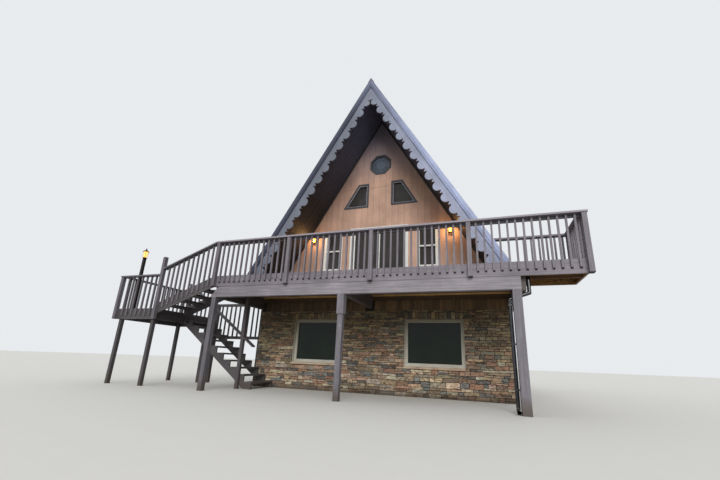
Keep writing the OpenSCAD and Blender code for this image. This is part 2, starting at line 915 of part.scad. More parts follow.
module platform_legs() {
    color([0.38, 0.35, 0.35])
    for (x = [platform_left + joist_t, platform_right - joist_t - rail_post_w],
         y = [deck_front + joist_t, platform_back - joist_t - rail_post_w])
        block(x, x + rail_post_w, y, y + rail_post_w, 0, platform_z - board_t);
}

// the balusters of one long side of the platform, their outer faces at y0
module platform_balusters(y0) {
    n = floor(platform_w / baluster_pitch);
    for (k = [1 : n - 1]) {
        x = platform_left + k * platform_w / n;
        block(x - baluster_w / 2, x + baluster_w / 2, y0, y0 + baluster_w, platform_foot_z, platform_cap_z);
    }
}

module platform_post(x, y) {
    block(x, x + rail_post_w, y, y + rail_post_w, platform_z - rim_h, platform_cap_z);
}

module platform_front_railing() {
    color([0.42, 0.39, 0.41]) {
        block(platform_post_x - 12, platform_right, cap_front, cap_back, platform_cap_z, platform_rail_z);
        platform_post(platform_post_x, deck_front - rail_post_w);
        platform_balusters(deck_front - baluster_w);
    }
}

module platform_back_railing() {
    y1 = platform_back + rail_post_w + 12;
    color([0.42, 0.39, 0.41]) {
        block(platform_post_x - 12, platform_right, y1 - cap_w, y1, platform_cap_z, platform_rail_z);
        platform_post(platform_post_x, platform_back);
        platform_post(platform_right - rail_post_w, platform_back);
        platform_balusters(platform_back);
    }
}

module platform_side_railing() {
    run = platform_back - deck_front;
    n = floor(run / baluster_pitch);
    color([0.42, 0.39, 0.41]) {
        block(platform_post_x - 12, platform_post_x - 12 + cap_w, cap_back,
              platform_back + rail_post_w + 12 - cap_w,
              platform_cap_z, platform_rail_z);
        for (k = [1 : n - 1]) {
            y = deck_front + k * run / n;
            block(platform_left - baluster_w, platform_left, y - baluster_w / 2, y + baluster_w / 2,
                  platform_foot_z, platform_cap_z);
        }
    }
}

function lower_line(x) = platform_z - (x - platform_right) * lower_rise / lower_going;

// a stringer cut to carry the treads, its lower edge parallel to the stair
module lower_stringer(y0) {
    depth = stringer_h + 60;
    foot_x = platform_right + (platform_z - depth) * lower_going / lower_rise;
    upright(y0, y0 + joist_t)
    polygon([[platform_right, platform_z - depth],
             for (k = [1 : lower_risers - 1]) each [
                 [platform_right + (k - 1) * lower_going, platform_z - k * lower_rise - tread_t],
                 [platform_right + k * lower_going, platform_z - k * lower_rise - tread_t]],
             [lower_end, 0], [foot_x, 0]]);
}

module lower_stringers() {
    color([0.38, 0.34, 0.33]) {
        lower_stringer(lower_y);
        lower_stringer(lower_y + flight_w - joist_t);
    }
}

module lower_treads() {
    color([0.42, 0.38, 0.36])
    for (k = [1 : lower_risers - 1]) {
        z = platform_z - k * lower_rise;
        x = platform_right + (k - 1) * lower_going;
        block(x, x + lower_going, lower_y, lower_y + flight_w, z - tread_t, z);
    }
}

// a sloped plank on a short post at the top and a tall one that goes on up to the deck boards
module lower_handrail() {
    y1 = lower_y;
    y0 = lower_y - rail_post_w;
    ym = (y0 + y1) / 2;
    h = handrail_h - handrail_t;
    first = platform_right;
    last = lower_end - 40;
    mid = handrail_post_x;
    color([0.40, 0.37, 0.38]) {
        upright(ym - handrail_w / 2, ym + handrail_w / 2)
        polygon([[first, lower_line(first) + h], [last, lower_line(last) + h],
                 [last, lower_line(last) + handrail_h], [first, lower_line(first) + handrail_h]]);
        upright(y0, y1)
        polygon([[first, platform_z - stringer_h], [first + rail_post_w, platform_z - stringer_h],
                 [first + rail_post_w, lower_line(first + rail_post_w) + h + 9],
                 [first, lower_line(first) + h + 9]]);
        block(mid, mid + rail_post_w, y0, y1, 0, floor_z - board_t);
    }
}

module guard_panel() {
    guard_top = beam_z + guard_lap;
    guard_bottom = guard_top - guard_h;
    x0 = platform_right + 60;
    x1 = -half_w - 40;
    y = front_y + 60;
    n = floor((x1 - x0) / baluster_pitch);
    color([0.38, 0.35, 0.35]) {
        block(x0, x0 + rail_post_w, y, y + rail_post_w, 0, guard_top);
        block(x1 - rail_post_w, x1, y, y + rail_post_w, 0, guard_top);
        block(x0 + rail_post_w, x1 - rail_post_w, y + 20, y + 58, guard_top - 89, guard_top);
        block(x0 + rail_post_w, x1 - rail_post_w, y + 20, y + 58, guard_bottom, guard_bottom + 89);
        for (k = [1 : n - 2]) {
            x = x0 + rail_post_w / 2 + k * (x1 - x0 - rail_post_w) / (n - 1);
            block(x - baluster_w / 2, x + baluster_w / 2, y + 20, y + 58, guard_bottom + 89, guard_top - 89);
        }
    }
}

module newel_post() {
    color([0.38, 0.35, 0.36])
    block(platform_right, platform_right + rail_post_w, deck_front - rail_post_w, deck_front,
          platform_z - rim_h, newel_top);
}

module lamp_post() {
    w = lantern_w;
    x = platform_left + platform_w * 0.3;
    y = deck_front + rail_post_w;
    color([0.20, 0.18, 0.17])
    translate([x, y, 0]) {
        block(-0.18 * w, 0.18 * w, -0.18 * w, 0.18 * w, platform_z, lantern_z - 0.3 * w);
        translate([0, 0, lantern_z - 0.3 * w]) cylinder(r = 0.28 * w, h = 0.12 * w);
        translate([0, 0, lantern_z - 0.18 * w]) cylinder(r1 = 0.25 * w, r2 = 0.42 * w, h = 0.95 * w);
        translate([0, 0, lantern_z + 0.77 * w]) cylinder(r1 = 0.52 * w, r2 = 0.12 * w, h = 0.4 * w);
        translate([0, 0, lantern_z + 1.17 * w]) sphere(r = 0.09 * w);
    }
}

ground_slab();
stone_front_wall();
stone_back_wall();
stone_left_wall();
stone_right_wall();
lower_window_frames();
lower_window_glass();
lower_window_sills();
main_floor();
loft_floor();
roof_left();
roof_right();
ridge_cap();
front_rake_board();
front_scalloped_board();
back_rake_board();
back_scalloped_board();
soffit_trim();
front_gable_wall();
back_gable_wall();
octagon_window();
raked_windows();
sash_windows();
upper_glass();
patio_door_frame();
patio_door_panels();
patio_door_glass();
wall_lamps();
deck_boards();
deck_rim();
deck_joists();
deck_beam();
cross_beams();
ledger_board();
post_left();
post_centre();
post_right();
centre_post_wrap();
downspout();
front_rail_posts();
front_balusters();
front_rail_cap();
right_railing();
rear_railing();
upper_stringers();
upper_treads();
upper_flight_railing();
side_platform();
platform_legs();
platform_front_railing();
platform_side_railing();
platform_back_railing();
lower_stringers();
lower_treads();
lower_handrail();
guard_panel();
newel_post();
lamp_post();
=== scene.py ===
"""A-frame cabin: a stone lower storey, a steep shingled roof with scalloped gable boards,
a grooved timber gable wall, a railed deck on posts and a stair that turns on a side platform.
Metres; X to the right along the front, Y to the back, Z up."""
import math
import bmesh
import bpy
import numpy as np
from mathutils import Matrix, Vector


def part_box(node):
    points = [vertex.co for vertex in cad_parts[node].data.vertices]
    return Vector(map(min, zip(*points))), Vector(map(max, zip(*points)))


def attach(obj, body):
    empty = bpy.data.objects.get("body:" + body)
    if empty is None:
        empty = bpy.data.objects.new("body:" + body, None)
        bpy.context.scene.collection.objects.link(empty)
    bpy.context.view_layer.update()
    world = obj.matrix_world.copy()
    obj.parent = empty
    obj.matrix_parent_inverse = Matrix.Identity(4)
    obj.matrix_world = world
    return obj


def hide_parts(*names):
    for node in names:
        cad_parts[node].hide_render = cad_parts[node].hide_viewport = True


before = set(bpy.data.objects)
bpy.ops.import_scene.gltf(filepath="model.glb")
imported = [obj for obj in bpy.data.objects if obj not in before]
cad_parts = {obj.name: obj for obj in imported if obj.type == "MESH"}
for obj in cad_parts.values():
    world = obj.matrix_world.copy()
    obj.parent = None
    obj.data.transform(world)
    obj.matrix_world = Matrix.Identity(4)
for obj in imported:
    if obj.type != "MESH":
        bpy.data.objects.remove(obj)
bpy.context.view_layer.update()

# --- Stone storey ---------------------------------------------------------------------
# Concrete block walls faced with dry-stacked ledger stone: thin split stones in uneven
# courses, larger and redder ones low down, and upright stones over each lower window.
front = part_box("stone_front_wall")
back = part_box("stone_back_wall")
wall_top = front[1][2]
stone_top = wall_top - 0.275
stone_depth, stone_gap = 0.034, 0.003
course_h, course_shrink = 0.108, 0.05
stone_short, stone_long, stone_shrink = 0.12, 0.44, 0.08
least_stone, overlap = 0.02, 0.002
split_h, split_w, split_odds = 0.07, 0.2, 0.45
edge_chip, edge_wobble, face_rough = 0.004, 0.0022, 0.0030
lintel_h, upright_n, sill_in = 0.19, 15, 0.04


def paint(hexed):
    """Linear colour of a paint given as red, green and blue in base sixteen."""
    part = np.array([int(hexed[i:i + 2], 16) for i in (0, 2, 4)]) / 255
    linear = np.where(part > 0.04045, ((part + 0.055) / 1.055) ** 2.4, part / 12.92)
    return (*[float(v) for v in linear], 1.0)


def feed(tree, node, given):
    """Fills each named input of a node with a value, a paint or another node's output."""
    for key, value in dict(given).items():
        if isinstance(value, bpy.types.NodeSocket):
            tree.links.new(value, node.inputs[key])
        else:
            node.inputs[key].default_value = paint(value) if isinstance(value, str) else value


def put(tree, kind, given=(), **settings):
    """Adds a node, sets its settings and feeds its inputs."""
    made = tree.nodes.new(kind)
    for key, value in settings.items():
        setattr(made, key, value)
    feed(tree, made, given)
    return made


def blend(tree, amount, first, second, mode="MIX"):
    """Colour that goes from first to second by amount."""
    made = put(tree, "ShaderNodeMix", {0: amount, 6: first, 7: second}, data_type="RGBA", blend_type=mode)
    return made.outputs[2]


def spread(tree, value, low, high, out_low=0.0, out_high=1.0):
    """Value stretched from low..high to out_low..out_high and held there."""
    return put(tree, "ShaderNodeMapRange", {0: value, 1: low, 2: high, 3: out_low, 4: out_high}).outputs[0]


def times(tree, colour, by):
    """A colour multiplied by another, or darkened by a plain value."""
    return blend(tree, 1.0, colour, by, "MULTIPLY")


def reckon(tree, kind, *values):
    """One step of arithmetic on up to three values or sockets."""
    return put(tree, "ShaderNodeMath", enumerate(values), operation=kind).outputs[0]


def spot_in(tree):
    """Object coordinates: metres in the shared frame."""
    return put(tree, "ShaderNodeTexCoord").outputs["Object"]


def axis_in(tree, axis):
    """One of the object coordinates: 0 to the right, 1 to the back, 2 up."""
    return put(tree, "ShaderNodeSeparateXYZ", {0: spot_in(tree)}).outputs[axis]


def own_tint(tree):
    """The colour that a piece keeps at each of its points."""
    return put(tree, "ShaderNodeAttribute", attribute_name="tint").outputs["Color"]


def stretched(tree, scale):
    """Object coordinates scaled along each axis, so that a pattern runs with the grain."""
    return put(tree, "ShaderNodeMapping", {"Vector": spot_in(tree), "Scale": scale}).outputs[0]


def noise(tree, size, detail=3.0, rough=0.55, where=None):
    """Cloudy value round one half, with size repeats a metre, or with one size along each axis."""
    if isinstance(size, tuple):
        where, size = stretched(tree, size), 1.0
    return put(tree, "ShaderNodeTexNoise", {
        "Vector": spot_in(tree) if where is None else where,
        "Scale": size, "Detail": detail, "Roughness": rough}).outputs[0]


def effect(name, given, gives):
    """A node group with the named inputs and outputs, and its two end nodes."""
    tree = bpy.data.node_groups.new(name, "ShaderNodeTree")
    kinds = {"c": "NodeSocketColor", "f": "NodeSocketFloat", "v": "NodeSocketVector"}
    for key, kind in given:
        tree.interface.new_socket(key, in_out="INPUT", socket_type=kinds[kind])
    for key, kind in gives:
        tree.interface.new_socket(key, in_out="OUTPUT", socket_type=kinds[kind])
    return tree, tree.nodes.new("NodeGroupInput").outputs, tree.nodes.new("NodeGroupOutput").inputs


def place(tree, group, given):
    """Puts an effect into a material and gives its outputs."""
    return put(tree, "ShaderNodeGroup", given, node_tree=group).outputs


def finish_of(name):
    """A new material with its tree."""
    made = bpy.data.materials.new(name)
    made.use_nodes = True
    return made, made.node_tree


def surface(tree, colour, rough, height=None, depth=0.002, **more):
    """Feeds the surface shader: colour, roughness, a height for its bump, and more by name."""
    more.update(Base_Color=colour, Roughness=rough)
    if height is not None:
        more["Normal"] = put(tree, "ShaderNodeBump", {"Height": height, "Distance": depth}).outputs[0]
    feed(tree, tree.nodes["Principled BSDF"], {key.replace("_", " "): value for key, value in more.items()})


# splash dirt: a ragged brown band above the ground
splash, given, gives = effect("splash_dirt", [("Colour", "c"), ("Reach", "f"), ("Amount", "f")],
                              [("Colour", "c")])
edge = reckon(splash, "MULTIPLY", noise(splash, 5.0, 5.0), given["Reach"])
edge = reckon(splash, "MULTIPLY", edge, 2.0)
low = spread(splash, reckon(splash, "DIVIDE", axis_in(splash, 2), edge), 0.2, 1.2, 1.0, 0.0)
low = reckon(splash, "MULTIPLY", low, given["Amount"])
splash.links.new(blend(splash, low, given["Colour"], "4a3d2f"), gives["Colour"])

# stone face: each stone's own colour with rust, buff sandstone, lichen and dark veins over it
ledger_stone, tree = finish_of("ledger_stone")
own = own_tint(tree)
cloud = noise(tree, (9.0, 9.0, 20.0), 6.0, 0.65)
colour = blend(tree, spread(tree, cloud, 0.38, 0.62, 0.0, 0.75), own, times(tree, own, "9f978a"))
rust = spread(tree, noise(tree, 3.1, 5.0, 0.7), 0.54, 0.68, 0.0, 0.38)
colour = blend(tree, rust, colour, "8f5b38")
grit = noise(tree, 75.0, 4.0, 0.7)
colour = blend(tree, spread(tree, grit, 0.45, 0.68, 0.0, 0.5), colour, "d8cab2")
veins = spread(tree, noise(tree, (14.0, 14.0, 60.0), 3.0), 0.36, 0.47, 0.75, 0.0)
colour = blend(tree, veins, colour, "231f1c")
dirty = place(tree, splash, {"Colour": colour, "Reach": 0.17, "Amount": 0.85})["Colour"]
surface(tree, dirty, spread(tree, grit, 0.2, 0.8, 0.72, 0.98),
        reckon(tree, "ADD", cloud, grit), 0.008)

# the joints between the stones: the dark block wall behind them
joint_dark, tree = finish_of("stone_joint")
grain = noise(tree, 30.0, 5.0)
surface(tree, blend(tree, grain, "1a1612", "362e25"), 0.95, grain, 0.004)

# stone colours with how often they come, low down and high up; painted shade turns the upper stones darker
# and olive
stone_paints = np.array([paint(h)[:3] for h in (
    "bb9c82", "a4775f", "ccb191", "d8c4a6", "788085", "484b50", "9a8568", "e0d3bd", "7f6956", "aaa092")])
often_low = np.array([7, 5, 6, 5, 5, 4, 1, 4, 2, 5.0])
often_high = np.array([3, 2, 5, 1.0, 1.0, 2, 7, 0.6, 7, 3.0])
painted_shade_tint = np.array([0.52, 0.50, 0.33])
rng = np.random.default_rng(11)


def mesh_piece(name, points, faces, finish, body="root"):
    """A mesh object from an array of points and a list of faces, riding on a body."""
    mesh = bpy.data.meshes.new(name)
    mesh.from_pydata(np.asarray(points, float).reshape(-1, 3).tolist(), [], faces)
    mesh.materials.append(finish)
    mesh.update()
    made = bpy.data.objects.new(name, mesh)
    bpy.context.scene.collection.objects.link(made)
    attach(made, body)
    return made


def tinted(made, tints, points_each):
    """Gives each stone, board or tab its own colour or shade, on all of its points: the attribute
    that the finish reads."""
    tints = np.reshape(tints, (len(tints), -1)) * np.ones(3)
    flat = np.concatenate([tints, np.ones((len(tints), 1))], axis=1).repeat(points_each, axis=0)
    layer = made.data.attributes.new("tint", "FLOAT_COLOR", "POINT")
    layer.data.foreach_set("color", flat.astype(np.float32).ravel())


def courses(width, levels, holes):
    """Stones as rows of start, end, bottom, top: each band between two levels is filled with
    courses of random height, each course with stones of random length, cut at the windows. Some
    large stones are swapped for one long stone and two short ones."""
    rows = []
    for bottom, top in zip(levels[:-1], levels[1:]):
        high = (bottom + top) / 2 / levels[-1]
        count = max(1, round((top - bottom) / (course_h - course_shrink * high)))
        cuts = np.cumsum(rng.uniform(0.6, 1.4, count))
        cuts = bottom + (top - bottom) * np.concatenate([[0], cuts / cuts[-1]])
        for z0, z1 in zip(cuts[:-1], cuts[1:]):
            longest = stone_long - stone_shrink * high
            ends = np.cumsum(rng.uniform(stone_short, longest, int(width / 0.16) + 4))
            ends = -width / 2 - rng.uniform(0.0, 0.3) + np.concatenate([[0], ends])
            spans = [(max(a, -width / 2), min(b, width / 2)) for a, b in zip(ends[:-1], ends[1:])]
            for h0, h1, hz0, hz1 in holes:
                if z1 > hz0 + overlap and z0 < hz1 - overlap:
                    spans = [s for a, b in spans for s in ((a, min(b, h0)), (max(a, h1), b))]
            for a, b in spans:
                if b - a <= least_stone:
                    continue
                if z1 - z0 > split_h and b - a > split_w and rng.random() < split_odds:
                    cut_z = z0 + (z1 - z0) * rng.uniform(0.36, 0.64)
                    cut_x = a + (b - a) * rng.uniform(0.3, 0.7)
                    whole, pair = (z0, cut_z), (cut_z, z1)
                    if rng.random() >= 0.5:
                        whole, pair = pair, whole
                    rows += [(a, b, *whole), (a, cut_x, *pair), (cut_x, b, *pair)]
                else:
                    rows.append((a, b, z0, z1))
    return np.array(rows)


def stone_faces(name, stones, spin, origin, finish):
    """Split-faced stones: over a grid of across and up, the depth is zero on the outer ring, full
    inside it, and rough all over; the ring is closed by a flat back. Spin and origin set the wall."""
    across = np.array([0.0, 0.0, 0.2, 0.42, 0.63, 0.82, 1.0, 1.0])
    up = np.array([0.0, 0.0, 0.33, 0.68, 1.0, 1.0])
    inner = np.array([0, 1, 1, 1, 1, 1, 1, 0.0])[None, :] * np.array([0, 1, 1, 1, 1, 0.0])[:, None]
    n = len(stones)
    a0, a1, z0, z1 = [stones[:, i][:, None, None] for i in range(4)]
    gap = stone_gap / 2 + rng.uniform(0.0, 0.0025, (n, 1, 1))
    a = a0 + gap + (a1 - a0 - 2 * gap) * across[None, None, :]
    z = z0 + gap + (z1 - z0 - 2 * gap) * up[None, :, None]
    wobble = rng.normal(0, edge_wobble, (2, n, 6, 8))
    chip = inner[None] * edge_chip
    end_ring = np.where(across < 0.01, 1, 0) - np.where(across > 0.99, 1, 0)
    bed_ring = np.where(up < 0.01, 1, 0) - np.where(up > 0.99, 1, 0)
    a = a + wobble[0] * 0.8 + end_ring[None, None, :] * chip
    z = z + wobble[1] * 0.8 + bed_ring[None, :, None] * chip
    proud = stone_depth * rng.uniform(0.45, 1.0, (n, 1, 1))
    lean = rng.normal(0, 0.09, (n, 1, 1)) * (z - z.mean(axis=(1, 2), keepdims=True))
    twist = rng.normal(0, 0.022, (n, 1, 1)) * (a - a.mean(axis=(1, 2), keepdims=True))
    rough = rng.normal(0, face_rough, (n, 6, 8))
    relief = np.clip(proud + lean + twist + rough, 0.008, stone_depth + 0.004)
    depth = inner[None] * relief - edge_chip * (1 - inner[None])
    wave = 0.007 * np.sin(2.3 * a + 5.0 * z) + 0.005 * np.sin(7.1 * a + 11.0 * z)
    z = np.maximum(z + wave * np.minimum(z / 0.2, 1.0), 0.0)
    local = np.stack([a, z, depth], axis=-1)
    points = (local.reshape(-1, 3) @ np.array(spin, float)) + np.array(origin, float)
    base = (np.arange(n) * 48)[:, None]
    corner = (np.arange(5)[:, None] * 8 + np.arange(7)[None, :]).ravel()
    quads = base[:, :, None] + np.stack([corner, corner + 1, corner + 9, corner + 8], axis=1)[None]
    rim = np.concatenate([np.arange(8), 7 + 8 * np.arange(1, 6), 46 - np.arange(7), 32 - 8 * np.arange(4)])
    faces = quads.reshape(-1, 4).tolist() + (base + rim[None, ::-1]).tolist()
    made = mesh_piece(name, points, faces, finish)
    mid = np.clip((stones[:, 2] + stones[:, 3]) / 2 / stone_top, 0, 1)
    odds = often_low[None] * (1 - mid[:, None]) ** 1.2 + often_high[None] * mid[:, None]
    pick = (np.cumsum(odds, axis=1) / odds.sum(axis=1)[:, None] < rng.random((n, 1))).sum(axis=1)
    tints = stone_paints[pick] * rng.uniform(0.62, 1.25, (n, 1)) * (1 + rng.normal(0, 0.04, (n, 3)))
    # painted shade: each stone is darkened towards olive the higher it sits, and more so on the left
    left_stone_shade = np.clip(-0.4 - 0.4 * stones[:, :2].mean(axis=1), 0, 1)
    tints *= 1 - (1 - painted_shade_tint) * np.clip(mid * 1.5 - 0.4 + 0.3 * left_stone_shade * (mid > 0.3), 0, 1.15)[:, None]
    tinted(made, np.clip(tints, 0.0, 1.0), 48)
    return made


def parts_of(node):
    """Lowest and highest corner of each separate solid of a CAD node: points at one place share
    a label, and each triangle spreads its least label to its corners until nothing changes."""
    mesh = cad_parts[node].data
    spots = np.empty(len(mesh.vertices) * 3)
    mesh.vertices.foreach_get("co", spots)
    spots = spots.reshape(-1, 3)
    same = np.unique(np.round(spots, 4), axis=0, return_inverse=True)[1].ravel()
    mesh.calc_loop_triangles()
    corners = np.empty(len(mesh.loop_triangles) * 3, int)
    mesh.loop_triangles.foreach_get("vertices", corners)
    corners = same[corners.reshape(-1, 3)]
    label = np.arange(same.max() + 1)
    while True:
        least = label[corners].min(axis=1)
        spread_to = label.copy()
        for side in range(3):
            np.minimum.at(spread_to, corners[:, side], least)
        if (spread_to == label).all():
            break
        label = spread_to
    owner = label[same]
    found = [spots[owner == one] for one in np.unique(owner)]
    return np.array(sorted([(*f.min(axis=0), *f.max(axis=0)) for f in found])).reshape(-1, 2, 3)


windows = parts_of("lower_window_frames")
sill_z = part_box("lower_window_sills")[0][2]
openings = [(w[0][0], w[1][0], w[0][2], w[1][2]) for w in windows]
lintels = [(a, b, top, top + lintel_h) for a, b, bottom, top in openings]
sills = [(w[0][0] + sill_in, w[1][0] - sill_in, w[0][2], w[1][2]) for w in parts_of("lower_window_sills")]
head = openings[0][3]
levels = [0.0, sill_z, openings[0][2], head, head + lintel_h, stone_top]
step = np.arange(upright_n)
uprights = np.concatenate([np.stack([
    a + (b - a) * step / upright_n, a + (b - a) * (step + 1) / upright_n,
    np.full(upright_n, bottom), np.full(upright_n, top) + rng.uniform(-0.012, 0.0, upright_n)], axis=1)
    for a, b, bottom, top in lintels])
wide = front[1][0] - front[0][0] + 2 * stone_depth * 0.8
front_stones = np.concatenate([courses(wide, levels, openings + lintels + sills), uprights])
stone_faces("ledger_front", front_stones, ((1, 0, 0), (0, 0, 1), (0, -1, 0)),
            (0, front[0][1], 0), ledger_stone)
plain = [0.0, stone_top * 0.32, stone_top * 0.7, stone_top]
deep = back[1][1] - front[0][1]
middle = (back[1][1] + front[0][1]) / 2
stone_faces("ledger_right", courses(deep, plain, []), ((0, 1, 0), (0, 0, 1), (1, 0, 0)),
            (front[1][0], middle, 0), ledger_stone)
stone_faces("ledger_left", courses(deep, plain, []), ((0, -1, 0), (0, 0, 1), (-1, 0, 0)),
            (front[0][0], middle, 0), ledger_stone)
stone_faces("ledger_back", courses(wide, plain, []), ((-1, 0, 0), (0, 0, 1), (0, 1, 0)),
            (0, back[1][1], 0), ledger_stone)


def coat(finish, *names):
    """Gives CAD pieces a finish in their first material slot."""
    for name in names:
        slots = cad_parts[name].data.materials
        if len(slots):
            slots[0] = finish
        else:
            slots.append(finish)


coat(joint_dark, "stone_front_wall", "stone_back_wall", "stone_left_wall", "stone_right_wall")

# --- Lower windows --------------------------------------------------------------------
# Fixed lights in wide putty-coloured frames set a little into the stone, over sills of thin
# stone slabs; a thin casing closes each frame out to the stones. Dark glass, here and upstairs.
putty, tree = finish_of("putty_frame")
grain = noise(tree, (3.0, 3.0, 30.0), 5.0)
grime = spread(tree, noise(tree, 2.0, 5.0), 0.4, 0.75, 0.0, 0.5)
colour = blend(tree, grime, "c9c6b8", "9a9483")
colour = blend(tree, spread(tree, grain, 0.3, 0.7, 0.0, 0.2), colour, "6b6154")
# painted shade: the frames darken towards their upper part, in the shade under the deck
colour = blend(tree, spread(tree, axis_in(tree, 2), 0.9, 2.0, 0.0, 0.72), colour, "6a5f48")
surface(tree, colour, spread(tree, grain, 0.2, 0.8, 0.45, 0.7), grain, 0.001)
coat(putty, "lower_window_frames")


def boxed(pair):
    """Outline of an upright box."""
    (x0, _, z0), (x1, _, z1) = pair
    return [(x0, z0), (x1, z0), (x1, z1), (x0, z1)]


def flat_frame(outer, inner, y0, y1):
    """Ring between two outlines with the same number of corners, as thick as y0 to y1."""
    outer, inner = np.asarray(outer, float), np.asarray(inner, float)
    n = len(outer)
    rings = [(outer, y0), (inner, y0), (inner, y1), (outer, y1)]
    points = np.concatenate([np.stack([r[:, 0], np.full(n, y), r[:, 1]], axis=1) for r, y in rings])
    i = np.arange(n)
    j = (i + 1) % n
    faces = np.concatenate([np.stack([a * n + i, a * n + j, b * n + j, b * n + i], axis=1)
                            for a, b in ((0, 1), (1, 2), (2, 3), (3, 0))])
    return points, faces.tolist()


def joined(parts):
    """Several points-and-faces pairs as one."""
    points, faces, start = [], [], 0
    for p, f in parts:
        points.append(np.asarray(p).reshape(-1, 3))
        faces += [[i + start for i in face] for face in f]
        start += len(points[-1])
    return np.concatenate(points), faces


def closed_piece(name, parts, finish):
    """One piece of several closed points-and-faces pairs, with every face turned outward."""
    made = mesh_piece(name, *joined(parts), finish)
    work = bmesh.new()
    work.from_mesh(made.data)
    bmesh.ops.recalc_face_normals(work, faces=work.faces)
    work.to_mesh(made.data)
    work.free()
    return made


# the frame's outer edge reaches out to the stones' face, so no dark gap shows round it
casing_t, casing_face = 0.014, front[0][1] - 0.012
casing = [flat_frame(boxed(w), boxed((w[0] + casing_t, w[1] - casing_t)), casing_face, w[0][1] + overlap)
          for w in windows]
window_casing = closed_piece("window_casing", casing, putty)

sill_stone, tree = finish_of("sill_stone")
speck = noise(tree, 70.0, 5.0, 0.7)
colour = blend(tree, speck, "ab937a", "d2bfa5")
colour = blend(tree, spread(tree, noise(tree, 4.0), 0.45, 0.7, 0.0, 0.6), colour, "8a5c47")
surface(tree, colour, 0.9, speck, 0.004)
coat(sill_stone, "lower_window_sills")

# the sill is laid from four thin slabs with open joints between them
slab_n, slab_gap, slab_deep = 4, 0.003, 0.075
slabs = []
for low_corner, high_corner in parts_of("lower_window_sills"):
    start = low_corner[0] + sill_in
    step = (high_corner[0] - sill_in - start) / slab_n
    rear = high_corner[1]
    slabs += [(start + i * step + slab_gap, rear - slab_deep, low_corner[2] + 0.004,
               start + (i + 1) * step - slab_gap, rear - 0.001, high_corner[2] - 0.003)
              for i in range(slab_n)]


def eased_blocks(name, boxes, ease, finish):
    """Blocks with eased edges: each face of a box is drawn in by the ease, so a corner is three
    points, one on each face; six faces, twelve edge strips and eight corner triangles close it.
    Boxes are rows of low x, y, z and high x, y, z."""
    boxes = np.asarray(boxes, float)
    signs = np.array([(i & 1, i >> 1 & 1, i >> 2 & 1) for i in range(8)], float)
    low, high = boxes[:, None, None, :3], boxes[:, None, None, 3:]
    pull = (1 - np.eye(3))[None, None] * (1 - 2 * signs)[None, :, None, :] * ease
    points = low + (high - low) * signs[None, :, None, :] + pull
    faces = [[c * 3, c * 3 + 1, c * 3 + 2] for c in range(8)]
    for axis in range(3):
        u, v, far_end = (axis + 1) % 3, (axis + 2) % 3, 1 << axis
        around = [(i << u) | (j << v) for i, j in ((0, 0), (1, 0), (1, 1), (0, 1))]
        faces += [[(side + c) * 3 + axis for c in around] for side in (0, far_end)]
        faces += [[c * 3 + u, (far_end + c) * 3 + u, (far_end + c) * 3 + v, c * 3 + v] for c in around]
    return closed_piece(name, [(block, faces) for block in points], finish)


sill_slabs = eased_blocks("sill_slabs", slabs, 0.005, sill_stone)
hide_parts("lower_window_sills")

# dark glass: its colour is painted shade of the unlit rooms behind, lighter upstairs, with lighter clouds
# over it as a painted reflection, greenish on the lower windows
for name, dark, light, panes in (
        ("window_glass", "050906", "1c2c20", ["lower_window_glass"]),
        ("upper_window_glass", "1b1a19", "474543", ["upper_glass", "patio_door_glass"])):
    dark_glass, tree = finish_of(name)
    film = noise(tree, 1.6, 4.0)
    surface(tree, blend(tree, film, dark, light),
            spread(tree, film, 0.3, 0.8, 0.02, 0.08), noise(tree, 1.7, 1.0), 0.003,
            Specular_IOR_Level=0.22)
    coat(dark_glass, *panes)

# --- Main floor, joists and the inside ------------------------------------------------
# Sawn framing lumber: the floor's rim over the stone, the loft and the deck joists, never
# painted and darkened by age; the slab inside is bare concrete.
weather, given, gives = effect(
    "weathered_paint", [("Grain", "v"), ("Paint", "c"), ("Bare", "c"), ("Wear", "f"), ("Streak", "f")],
    [("Colour", "c"), ("Roughness", "f"), ("Height", "f")])
fine = noise(weather, 1.0, 6.0, 0.68, given["Grain"])
cloud = noise(weather, 1.3, 5.0, 0.6)
colour = times(weather, given["Paint"], spread(weather, cloud, 0.3, 0.7, 0.78, 1.16))
colour = blend(weather, given["Streak"], colour, spread(weather, fine, 0.36, 0.64, 0.64, 1.2), "MULTIPLY")
patch = reckon(weather, "ADD", noise(weather, 5.0, 6.0, 0.72), fine)
worn = reckon(weather, "SUBTRACT", patch, reckon(weather, "SUBTRACT", 1.42, given["Wear"]))
worn = spread(weather, worn, 0.0, 0.12, 0.0, 0.85)
weather.links.new(blend(weather, worn, colour, given["Bare"]), gives["Colour"])
weather.links.new(spread(weather, fine, 0.3, 0.7, 0.5, 0.78), gives["Roughness"])
weather.links.new(reckon(weather, "MULTIPLY_ADD", worn, -0.6, fine), gives["Height"])

along = {"x": (1.2, 31.0, 31.0), "y": (31.0, 1.2, 31.0), "z": (31.0, 31.0, 1.2)}
painted_haze_reach = 0.9
left_shade_start, left_shade_end = -3.9, -0.4


